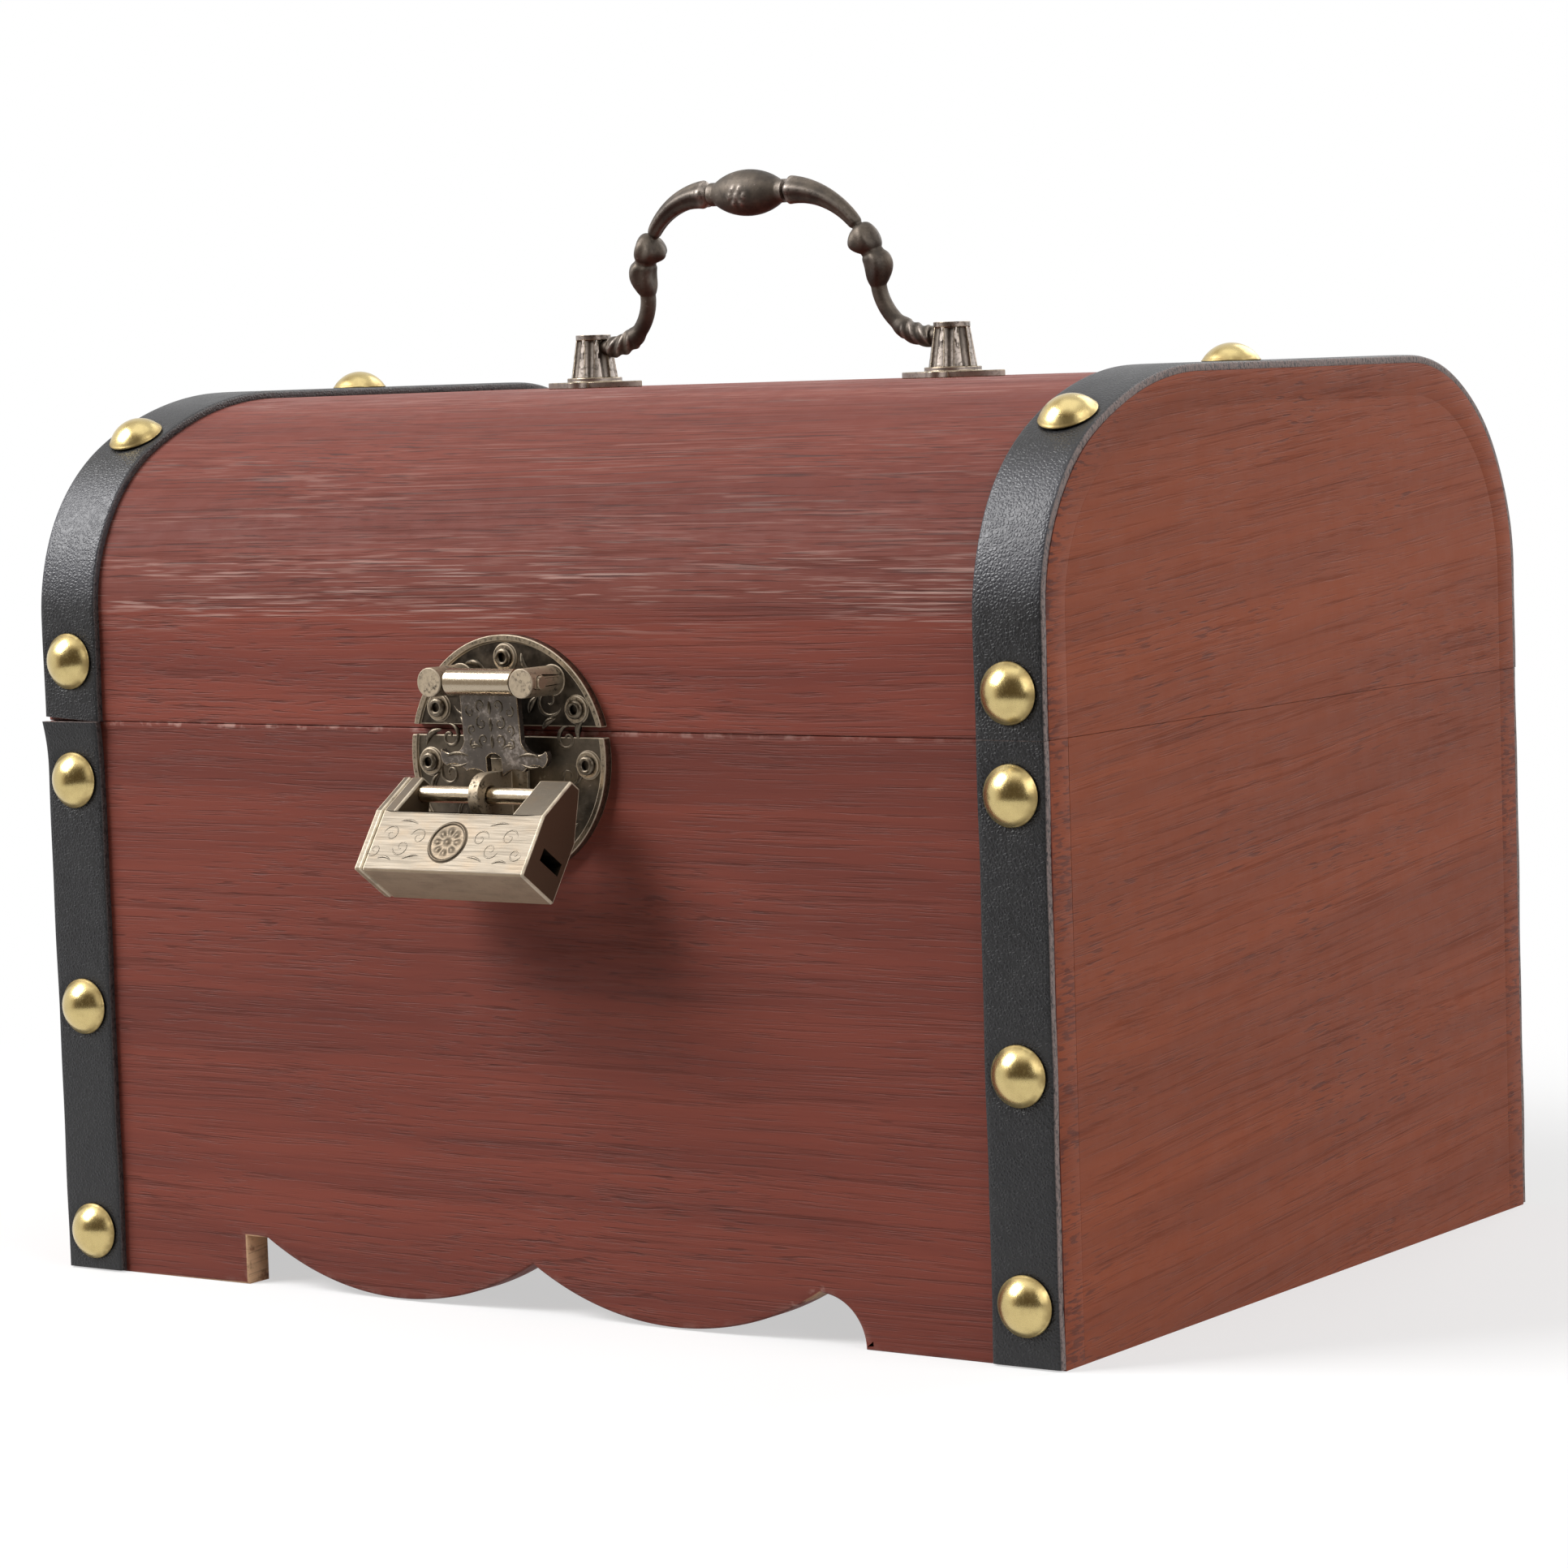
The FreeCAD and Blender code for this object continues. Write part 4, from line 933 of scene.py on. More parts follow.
def add_board(name, body, finishes, outline, ease, thickness, place, raw=0.0, rub=0.0):
    """Board from an outline; place gives its origin and the directions right, up and inward.

    Raw is the bare wood on the outline's sides, and rub the wear of its edges. Long boards end in a kerf.
    """
    rings, worn, inside = slab(outline, ease, thickness, *place)
    sides = np.zeros(worn.shape)
    sides[2:-2] = raw
    kerf = np.zeros(worn.shape)
    kerf[4:-4] = KERF_SHADE * (np.abs(outline[:, 0]) > HALF_LENGTH - WELD)
    marks = {"worn": worn * rub, "inside": inside, "raw": sides, "kerf": kerf}
    return add_piece(name + "_board", body, finishes, [(rings, marks)], (name,))


def show_end_grain(piece):
    """Second finish on the faces that look along the length of a board."""
    polygons = piece.data.polygons
    at_end = np.abs(read(polygons, "normal", 3)[:, 0]) > ALONG
    polygons.foreach_set("material_index", at_end.astype(np.int32))


def rectangle(left, right, low, high):
    """Corners of a rectangle, counterclockwise."""
    return np.array([[left, low], [right, low], [right, high], [left, high]])


def build_boards(chest):
    """Front, back, end and bottom boards, and the three boards of the lid."""
    wood = chest.wood
    body_wood = wood_finish("stained_wood_body", wood, 0, wood.body_stain, wood.body_deep, 1.0)
    lid_wood = wood_finish("stained_wood_lid", wood, 0, wood.stain, wood.deep, 1.0)
    end_wood = wood_finish("stained_wood_ends", wood, 1, wood.end_stain, wood.end_deep, wood.end_lines,
                           -wood.end_turn)
    outline, ease, raw, rub = front_outline(wood)
    place = (np.array([0, FRONT_Y, 0]), X_AXIS, Z_AXIS, Y_AXIS)
    front = add_board("front_panel", "chest", [body_wood, end_wood], outline, ease, BOARD, place, raw, rub)
    show_end_grain(front)
    corner_ease = np.full(4, wood.joint_ease)
    outline = rectangle(-HALF_LENGTH, HALF_LENGTH, 0, SEAM)
    place = (np.array([0, BACK_Y, 0]), -X_AXIS, Z_AXIS, -Y_AXIS)
    back = add_board("back_panel", "chest", [body_wood, end_wood], outline, corner_ease, BOARD, place)
    show_end_grain(back)
    inner_low = FRONT_Y + BOARD
    inner_high = BACK_Y - BOARD
    for side, name in ((-1, "left"), (1, "right")):
        outline = rectangle(*sorted((side * inner_low, side * inner_high)), 0, SEAM)
        place = (side * HALF_LENGTH * X_AXIS, side * Y_AXIS, Z_AXIS, -side * X_AXIS)
        add_board(name + "_side_panel", "chest", [end_wood], outline, corner_ease, BOARD, place)
    build_bottom(wood)
    build_lid_skin(wood, lid_wood, end_wood)
    build_lid_ends(wood, end_wood)


def build_bottom(wood):
    """Raw board in the grooves of the body's boards."""
    low, high = corners("bottom_board")
    outline = rectangle(low[0], high[0], low[1], high[1])
    place = (np.array([0, 0, high[2]]), X_AXIS, Y_AXIS, -Z_AXIS)
    rings, worn, inside = slab(outline, np.full(4, wood.joint_ease), high[2] - low[2], *place)
    finish = raw_wood_finish("raw_wood_bottom", wood)
    add_piece("bottom_board_raw", "chest", [finish], [(rings, {})], ("bottom_board",))


# Where the lid's pale hairs, partly painted sheen, begin and thin out, in millimetres above a foot;
# where these and its other marks begin and end, in degrees of the board's tilt: more painted sheen over
# the crown, and darker stain, partly painted shade, over the slope
HAIRS_BEGIN = (15, 20)
HAIRS_THIN = (26, 34)
HAIRS_END = (55, 75)
CROWN_BEGINS = (66, 84)
DARKENING_BEGINS = (-1, 6)
DARKENING_DEEPENS = (24, 40)
DARKENING_FADES = (62, 84)
KERF_ENDS = (60, 80)


def build_lid_skin(wood, finish, end_finish):
    """Bent board: a rectangle with eased corners carried over the arch, drawn in at both feet."""
    distance, path, outward, slope = lid_arch(wood, SKIN_STEP)
    ease = wood.seam_ease
    step = np.array(FOOT_STEPS) * ease
    ends = np.concatenate([step, distance[-1] - step[::-1]])
    clear_of_feet = np.minimum(distance, distance[-1] - distance) > 4 * ease
    stations = np.union1d(distance[clear_of_feet], ends)
    path = np.stack([np.interp(stations, distance, path[:, axis]) for axis in range(3)], axis=1)
    slope = np.interp(stations, distance, slope)
    outward = np.stack([np.zeros(len(slope)), -np.cos(slope), np.sin(slope)], axis=1)
    short = np.maximum(1 - np.minimum(stations, stations[-1] - stations) / ease, 0)
    inset = ease * (1 - np.sqrt(1 - short ** 2))[:, None]
    section = rounded_section(2 * HALF_LENGTH, BOARD, wood.joint_ease, wood.joint_ease, 20)
    share = section / np.array([2 * HALF_LENGTH, BOARD])
    wide = 2 * HALF_LENGTH * share[:, 0] + 0 * inset
    deep = inset + (BOARD - 2 * inset) * share[:, 1] - BOARD
    rings = swept(path, np.broadcast_to(X_AXIS, path.shape), outward, np.stack([wide, deep], axis=-1))
    lean = np.degrees(slope)[:, None]
    tilt = np.minimum(lean, 180 - lean)
    climb = np.minimum(stations, stations[-1] - stations)[:, None] / MM
    # Bend mark: pale hairs above the front foot and over the crown, partly rubbed stain, partly painted sheen
    bend = smooth(climb, *HAIRS_BEGIN) * (1 - 0.7 * smooth(climb, *HAIRS_THIN))
    bend = bend * (1 - smooth(tilt, *HAIRS_END)) + 0.8 * smooth(tilt, *CROWN_BEGINS)
    # Darker over the slope of the lid, least on its flat top: partly weathering, partly painted shade
    aged = smooth(tilt, *DARKENING_BEGINS) * (1 + 0.2 * smooth(tilt, *DARKENING_DEEPENS))
    aged = aged * (1 - 0.7 * smooth(tilt, *DARKENING_FADES))
    outer = (share[:, 1] > 0.999).astype(float)
    edge = np.where(np.abs(share[:, 0]) > 0.4995, share[:, 1] ** 3, 0)
    marks = {
        # Eased feet worn paler towards the left: partly rubbed wood, partly a painted highlight along the
        # seam
        "worn": (short > 0)[:, None] * outer * (0.5 - share[:, 0]),
        "inside": (share[:, 1] < 0.001) + 0 * lean,
        "bend": bend * outer,
        "aged": aged * outer,
        "kerf": edge * np.interp(lean, KERF_ENDS, (1, 0)),
    }
    shells = [(rings, marks)]
    skin = add_piece("lid_skin_board", "lid", [finish, end_finish], shells, ("lid_skin",))
    show_end_grain(skin)


def build_lid_ends(wood, finish):
    """Boards that close the lid's ends, with the arch's inner line as their outline."""
    distance, path, outward, slope = lid_arch(wood, LID_END_STEP)
    inner = path - (BOARD + GLUE_GAP) * outward
    for side, name in ((-1, "lid_left_end"), (1, "lid_right_end")):
        outline = np.stack([side * inner[:, 1], inner[:, 2]], axis=1)
        outline = outline if side < 0 else outline[::-1]
        ease = np.full(len(outline), wood.joint_ease)
        place = (side * HALF_LENGTH * X_AXIS, side * Y_AXIS, Z_AXIS, -side * X_AXIS)
        add_board(name, "lid", [finish], outline, ease, BOARD, place)


# Leather straps

# Rings of an upright strap, step along a bent one, share of a step that keeps an end square, how much less
# the outer corner curls, and the tilt in degrees over which the leather takes a painted sheen
STRAP_RINGS = 130
LID_STRAP_STEP = 0.9 * MM
END_STEP = 0.06
LOOSE_CORNER = 0.45
SHEEN_BEGINS = (0, 16)
SHEEN_ENDS = (34, 54)


def strap_rings(look, path, outward, x, nails, phase, curl=0.0, slant=0.0):
    """Leather strip: a rounded section carried along a path, dented round the nails, with wandering edges.

    The outer face sinks by dent * exp(-(gap / fade) squared), where gap is the distance from a nail's rim.
    The width shrinks by wander * (1 + sin) / 2 on each side, the last stretch lifts off by curl, and the
    first end is cut aslant, higher by slant at the left.
    """
    width = STRAP_WIDTH
    section = rounded_section(width, STRAP_THICKNESS, look.edge_round, look.inner_round, 17)
    near_start = path[:1] * (1 - END_STEP) + path[1:2] * END_STEP
    near_end = path[-1:] * (1 - END_STEP) + path[-2:-1] * END_STEP
    path = np.concatenate([path[:1], near_start, path[1:-1], near_end, path[-1:]])
    outward = np.concatenate([outward[:1], outward, outward[-1:]])
    steps = np.linalg.norm(np.diff(path, axis=0), axis=1)
    distance = np.concatenate([[0], np.cumsum(steps)])
    across = np.repeat(section[None, :, 0], len(path), axis=0)
    height = np.repeat(section[None, :, 1], len(path), axis=0)
    slow = np.sin(distance / look.long_wave + phase)
    quick = np.sin(distance / look.short_wave + 2 * phase)
    narrow = look.wander * (1 + 0.6 * slow + 0.4 * quick) / 2
    across = across * (1 - 2 * narrow / width)[:, None]
    flat = path[:, None] + across[..., None] * X_AXIS
    outer = section[:, 1] / STRAP_THICKNESS
    dent = np.zeros(across.shape)
    for seat in nails:
        gap = np.linalg.norm(flat + STRAP_THICKNESS * outward[:, None] - (seat - x * X_AXIS), axis=2)
        dent = np.maximum(dent, hill(np.maximum(gap, look.dent_start), look.dent_start, look.dent_fade))
    camber = look.camber * (2 * across / width) ** 4
    height = height - outer * (look.dent * dent + camber)
    free = np.clip(1 - (distance[-1] - distance) / look.curl_length, 0, 1)[:, None]
    lift = curl * free ** 2 * (1 - LOOSE_CORNER * (across / width + 0.5))
    rings = swept(path, np.broadcast_to(X_AXIS, path.shape), outward,
                  np.stack([across + x, height + lift], axis=-1))
    aslant = np.clip(1 - distance / look.slant_length, 0, 1)[:, None]
    rings[..., 2] += slant * (0.5 - across / width) * aslant
    # Pale fibres in full on the outer cut edge and a fifth of them on the inner one: painted light on the
    # outer edge, painted shade on the inner
    outside = section[:, 0] * np.sign(x) / width
    cut = np.where(outside > 0.495, 1.0, np.where(outside < -0.495, 0.2, 0.0)) + np.zeros((len(path), 1))
    cut[[0, -1]] = 1
    # Painted sheen over the tilts at which the strap bends over the lid
    lean = np.degrees(np.arcsin(outward[:, 2:]))
    stretched = smooth(lean, *SHEEN_BEGINS) * (1 - smooth(lean, *SHEEN_ENDS)) + 0 * cut
    return rings, {"cut": cut, "stretched": stretched}


def build_straps(chest):
    """Four straps on the body, the left front one curled at its top, and two over the lid."""
    look = chest.strap
    leather = leather_finish("black_leather_straps", look)
    body_nails = np.array([seat for seat, axis in seats_of("body_strap_nails")])
    lid_nails = np.array([seat for seat, axis in seats_of("lid_strap_nails")])
    strap_x = HALF_LENGTH - STRAP_WIDTH / 2
    height = np.linspace(STRAP_LOW[2], STRAP_HIGH[2], STRAP_RINGS)
    for face, face_y, face_name in ((-1, FRONT_Y, "front"), (1, BACK_Y, "back")):
        for side, side_name in ((-1, "left"), (1, "right")):
            name = f"{face_name}_{side_name}_body_strap"
            path = np.stack(np.broadcast_arrays(0.0, face_y, height), axis=1)
            outward = np.broadcast_to(face * Y_AXIS, path.shape)
            near = body_nails[(body_nails[:, 0] * side > 0) & (body_nails[:, 1] * face > 0)]
            curl = look.curl if name == "front_left_body_strap" else 0.0
            shell = strap_rings(look, path, outward, side * strap_x, near, side + 2 * face, curl)
            add_piece(name + "_leather", "chest", [leather], [shell], (name,))
    distance, path, outward, slope = lid_arch(chest.wood, LID_STRAP_STEP)
    for side, name in ((-1, "left_lid_strap"), (1, "right_lid_strap")):
        near = lid_nails[lid_nails[:, 0] * side > 0]
        slant = look.slant if name == "left_lid_strap" else 0.0
        shell = strap_rings(look, path, outward, side * strap_x, near, 3 * side, slant=slant)
        add_piece(name + "_leather", "lid", [leather], [shell], (name,))


# Dome nails and pins

# Points of the rim as shares of radius and height, and the shares of the radius between which it darkens
ROLLED_RIM = ((0.86, -0.05), (0.97, -0.03), (1.0, 0.02))
RIM_SHADE = (0.78, 0.98)


def dome_profile(radius, height, rings):
    """Slice of a sphere over a small rolled rim, from below the rim to the crown."""
    sphere = (radius ** 2 + height ** 2) / (2 * height)
    reach = math.asin(radius / sphere)
    turn = np.linspace(reach, 0.02, rings)
    dome = np.stack([sphere * np.sin(turn), height - sphere * (1 - np.cos(turn))], axis=1)
    rim = np.array(ROLLED_RIM) * [radius, height]
    dome[:, 1] = np.maximum(dome[:, 1], 0.05 * height)
    return np.concatenate([rim, dome])


def dome_shells(node, radius, height, sides):
    """A dome on each seat of a CAD node, marked darker towards its rim."""
    profile = dome_profile(radius, height, 18)
    rim = np.interp(profile[:, :1] / radius, RIM_SHADE, (0, 1))
    return [(turned(profile, seat, axis, sides), {"rim": rim}) for seat, axis in seats_of(node)]


def build_nails(chest):
    """Dome nails on the straps of the body and the lid."""
    look = chest.nail
    brass = nail_finish("brass_nails_polished", look)
    for node, body in (("body_strap_nails", "chest"), ("lid_strap_nails", "lid")):
        shells = dome_shells(node, look.head_radius, look.head_height, look.sides)
        add_piece(node + "_domes", body, [brass], shells, (node,), ROUND_CREASE)


# Hinges

def build_hinges(chest):
    """Hinge leaves, pins and screws with rounded edges."""
    metal = chest.metal
    bronze = bronze_finish("antique_bronze_hinges", metal, 0.1)
    rubbed = bronze_finish("antique_bronze_hinge_edges", metal, 1.0)
    steel = steel_finish("spring_steel_pins", metal)
    for side in ("left", "right"):
        eased_copy(side + "_hinge_body_leaf", "chest", [bronze, rubbed], metal.edge)
        eased_copy(side + "_hinge_lid_leaf", "lid", [bronze, rubbed], metal.edge)
        eased_copy(side + "_hinge_pin", "chest", [steel], metal.edge)
    for node, body in (("hinge_body_screws", "chest"), ("hinge_lid_screws", "lid")):
        eased_copy(node, body, [rubbed], metal.edge / 2)


# Latch

# Points round strands and eyelets, wear of a strand's crest, the plate's face, heights over it at which rim
# and posts are worn, reach of the hasp's barrel, depth of the scrolls' roots, and place and lean of the flap
STRAND_SIDES = 10
EYELET_SIDES = 28
CREST_WEAR = 0.32
PLATE_FACE = FRONT_Y - 1.4 * MM
POST_RISE = 0.8 * MM
RIM_WEAR = 0.4 * MM
POST_WEAR = (3 * MM, 7 * MM)
BARREL_REACH = 2.5 * MM
SCROLL_SINK = 0.12 * MM
FLAP_FACE = 1.0 * MM
FLAP_SINK = 0.1 * MM
HASP_LEAN = math.radians(5)

# Ornament of the round plate about its centre: bearing in degrees, size in millimetres and hand of each
# scroll, bearings of the inner leaves, radii of the scrolls' ring and of the leaves' ends
PLATE_SCROLLS = ((14, 2.3, 1), (47, 2.9, -1), (70, 2.1, 1), (110, 2.1, -1), (133, 2.9, 1), (166, 2.3, -1))
PLATE_LEAVES = (33, 58, 90, 122, 147)
SCROLL_RING = 13.4
OUTER_LEAF = (15.6, 18.6)
INNER_LEAF = (9.0, 12.6)
PLATE_TURNS = 1.25
PLATE_LEAF = 1.5

# Ornament of the hasp's flap about its pin, in millimetres: place, size and hand of the right half's
# scrolls; start, end, bow and thickness of its leaves; tops of the middle leaves
FLAP_SCROLLS = ((1.9, -4.3, 1.2, -1), (4.3, -5.4, 1.1, 1), (2.0, -7.4, 1.3, 1), (4.2, -8.6, 1.0, -1),
                (1.8, -10.4, 1.2, -1), (4.0, -11.2, 1.0, 1))
FLAP_LEAVES = (((5.2, -13.4), (10.8, -13.6), 0.12, 1.4), ((5.6, -14.4), (9.8, -15.0), -0.10, 1.0),
               ((2.0, -12.2), (5.4, -11.8), 0.2, 1.0))
FLAP_VEINS = (-3.4, -6.4, -9.4)
VEIN_LENGTH = 2.6
FLAP_TURNS = 1.2
FLAP_VINE = 0.62

# Radius and height of a rolled tube's end in millimetres, with its wear
EYELET = ((1.45, -0.10, 0), (1.70, 0.05, 0.1), (1.72, 0.30, 0.2), (1.55, 0.58, 0.3), (1.28, 0.74, 0.4),
          (1.05, 0.76, 0.4), (0.86, 0.64, 0.3), (0.75, 0.40, 0), (0.74, -0.20, 0), (0.73, -0.75, 0))


def polar(radius, turn):
    """Point of a plane at a radius and an angle."""
    return np.array([radius * math.cos(turn), radius * math.sin(turn)])


def tube(line, radius, up):
    """Rings of a round strand along a line: line + radius * (cos * sideways + sin * up)."""
    along = np.gradient(line, axis=0)
    along /= np.linalg.norm(along, axis=1)[:, None]
    sideways = np.cross(along, up)
    turn = np.linspace(0, 2 * np.pi, STRAND_SIDES, endpoint=False)[:, None]
    thick = np.broadcast_to(radius, len(line))[:, None, None]
    return line[:, None] + thick * (np.cos(turn) * sideways[:, None] + np.sin(turn) * up)


def scroll(centre, size, turns, start, hand, thickness):
    """Flat spiral strand: radius size * (1 - 0.86 t) and angle start + hand * turns * t, for t from 0 to 1.

    Returned as points in a plane and the strand's radius, which thins towards the heart.
    """
    t = np.linspace(0, 1, 34)
    reach = size * (1 - 0.86 * t)
    turn = start + hand * 2 * np.pi * turns * t
    line = np.stack([centre[0] + reach * np.cos(turn), centre[1] + reach * np.sin(turn)], axis=1)
    strand = thickness * (1 - 0.45 * t) * np.minimum(1, 0.3 + 6 * t)
    return line, strand


def leaf(start, end, bow, width):
    """Flat leaf strand from start to end, bowed sideways, thick in its middle."""
    t = np.linspace(0, 1, 16)[:, None]
    start = np.array(start)
    end = np.array(end)
    chord = end - start
    side = np.array([-chord[1], chord[0]])
    line = start + t * chord + bow * np.sin(np.pi * t) * side
    strand = width * (0.12 + 0.88 * np.sin(np.pi * t[:, 0]) ** 0.8)
    return line, strand


def leaf_pairs(table, thickness):
    """Leaves on both sides of a middle line, from a table of the right ones."""
    return [leaf((side * start[0], start[1]), (side * end[0], end[1]), side * bow, thickness * share)
            for start, end, bow, share in table for side in (-1, 1)]


def plate_ornament(side, vine):
    """Scrolls and leaves for one half of the round plate, in millimetres about the plate's centre."""
    strands = []
    for turn, size, hand in PLATE_SCROLLS:
        at = math.radians(turn) * side
        strands.append(scroll(polar(SCROLL_RING, at), size, PLATE_TURNS, at + 1.2 * hand, hand * side, vine))
        root = polar(OUTER_LEAF[0], at - 0.05)
        tip = polar(OUTER_LEAF[1], at + 0.16)
        strands.append(leaf(root, tip, 0.18 * hand, vine * PLATE_LEAF))
    for turn in PLATE_LEAVES:
        root, tip = (polar(radius, math.radians(turn) * side) for radius in INNER_LEAF)
        strands.append(leaf(root, tip, 0.1, vine * PLATE_LEAF))
    return strands


def relief(strands, to_space, up, sink):
    """Half-buried tubes for flat strands in millimetres; to_space turns plane points into space."""
    crest = CREST_WEAR * np.clip(np.sin(np.linspace(0, 2 * np.pi, STRAND_SIDES, endpoint=False)), 0, 1)
    return [(tube(to_space(line * MM) - sink * up, strand * MM, up), {"wear": crest})
            for line, strand in strands]


def eyelet_shells(node):
    """Rolled tube ends with dark hollows, turned on the latch pins' seats."""
    table = np.array(EYELET)
    profile = table[:, :2] * MM
    wear = table[:, 2:]
    return [(turned(profile, seat, axis, EYELET_SIDES), {"wear": wear}) for seat, axis in seats_of(node)]


def build_latch(chest):
    """Round plate in two halves with posts and scrolls, hollow pins, staple, and hasp on its pin."""
    metal = chest.metal
    post = bronze_finish("antique_bronze_latch_posts", metal, 1.0, 0.66)
    rim = lock_finish("antique_bronze_rims", metal, metal.rubbed, 0.0, 0.45)
    polished = bronze_finish("antique_bronze_barrel", metal, 1.7, 0.36)
    flap = bronze_finish("antique_bronze_flap", metal, 0.5, 0.46, 0.22, metal.cast)
    raised = bronze_finish("antique_bronze_relief", metal, 0.2)
    plate_centre = (PLATE_LOW[2] + PLATE_HIGH[0]) * Z_AXIS

    def worn_plate(points):
        """Rubbed rim, and posts that grow brighter towards their ends."""
        proud = PLATE_FACE - points[:, 1]
        return np.clip(proud / RIM_WEAR, 0, 0.9) + np.interp(proud, POST_WEAR, (0, 1)).clip(0, 0.3)

    def posts(middles, normals):
        """The faces that stand proud of the plate's rim."""
        return middles[:, 1] < PLATE_FACE - POST_RISE

    def barrel(middles, normals):
        """The hasp's faces round its pin."""
        return from_axis(middles, HASP_PIN) < BARREL_REACH

    def on_plate(flat):
        """Points of a plane laid on the plate's face, about its centre."""
        return flat[:, :1] * X_AXIS + flat[:, 1:] * Z_AXIS + plate_centre + PLATE_FACE * Y_AXIS

    plates = (("latch_upper_plate", "lid", 1, 0.0), ("latch_lower_plate", "chest", -1, 0.12))
    for node, body, side, lift in plates:
        bronze = bronze_finish("antique_bronze_" + node, metal, 0.2, 0.42, lift)
        eased_copy(node, body, [bronze, post, rim], metal.rim_edge, worn_plate, posts)
        shells = relief(plate_ornament(side, metal.vine / MM), on_plate, -Y_AXIS, SCROLL_SINK)
        add_piece(node + "_scrolls", body, [raised], shells, (), ROUND_CREASE)
    eased_copy("latch_staple", "chest", [post], metal.edge)
    eased_copy("hasp_pin", "lid", [post], metal.edge)
    eased_copy("hasp", "hasp", [flap, polished], metal.edge, None, barrel)
    for node, body in (("latch_upper_pins", "lid"), ("latch_lower_pins", "chest")):
        shells = eyelet_shells(node)
        add_piece(node + "_eyelets", body, [raised], shells, (node,), EYELET_CREASE)
    build_hasp_relief(metal, raised)


def build_hasp_relief(metal, raised):
    """Scrolls on the flap, leaves along its middle and leaf veins on its wings."""
    vine = metal.vine / MM * FLAP_VINE
    strands = [scroll((side * x, z), size, FLAP_TURNS, hand * math.pi / 2, -hand * side, vine)
               for side in (-1, 1) for x, z, size, hand in FLAP_SCROLLS]
    strands += [leaf((0, top), (0, top - VEIN_LENGTH), 0.0, vine * 1.6) for top in FLAP_VEINS]
    strands += leaf_pairs(FLAP_LEAVES, vine)

    def on_flap(flat):
        """Points of a plane laid on the leaning flap, below its pin."""
        upright = flat[:, :1] * X_AXIS + flat[:, 1:] * Z_AXIS + FLAP_FACE * Y_AXIS
        return turned_about_x(upright, HASP_LEAN, HASP_PIN)

    shells = relief(strands, on_flap, turned_about_x(-Y_AXIS, HASP_LEAN, 0), FLAP_SINK)
    add_piece("hasp_scrolls", "hasp", [raised], shells, (), ROUND_CREASE)


# Padlock

# Lean of the padlock at rest, places of its face and middle from the staple's eye, reach of the bar and its
# holes about the eye, hollow parts about the stem, depth of the keyhole and height of the pocket, which
# take painted shade, and size of the medallion
LOCK_LEAN = math.radians(-35)
LOCK_FACE = -5.2 * MM
LOCK_MIDDLE = -12.3 * MM
BAR_REACH = 1.7 * MM
BAR_HOLE_REACH = 1.8 * MM
HOLLOW_REACH = 4.8 * MM
KEYHOLE_DEPTH = (0.3 * MM, 8 * MM)
POCKET_HEIGHT = (4 * MM, 5.5 * MM)
MEDALLION_RADIUS = 4.1 * MM
MEDALLION_HEIGHT = 0.30 * MM
ENGRAVING_SINK = 0.04 * MM
LOCK_TURNS = 1.3

# Engraving about the middle of the padlock's face, in millimetres: place, size and hand of the right half's
# scrolls; start, end, bow and thickness of its leaves
LOCK_SCROLLS = ((6.8, 0.9, 1.8, 1), (9.8, -1.2, 1.8, -1), (12.9, 1.3, 1.8, 1), (15.4, -1.9, 1.4, -1))
LOCK_LEAVES = (((5.2, -2.8), (8.8, -3.6), 0.1, 1.6), ((7.8, 3.4), (12.0, 3.9), 0.1, 1.6),
               ((11.0, -3.9), (14.2, -3.6), 0.15, 1.6))


def medallion(radius, height):
    """Round flower on a disc: rim ring, eight petals and a round heart, as rings from the rim to the middle.

    Height over the face is the sum of a ring near the rim, petals that rise as cos(4 * angle) squared
    between heart and rim, and a dome at the middle.
    """
    share = np.concatenate([[1.0], np.linspace(1.0, 0.01, 34)])[:, None]
    turn = np.linspace(0, 2 * np.pi, 96, endpoint=False)[None, :]
    petals = np.cos(4 * turn) ** 2 * hill(share, 0.52, 0.17)
    rise = height * (0.12 + 0.9 * hill(share, 0.90, 0.05) + 0.75 * petals + hill(share, 0, 0.17))
    rise[0] = -0.5 * height
    flat = radius * share
    return flat * np.cos(turn), flat * np.sin(turn), rise


def between(values, limits):
    """Whether each value lies between two limits."""
    return (values > limits[0]) & (values < limits[1])


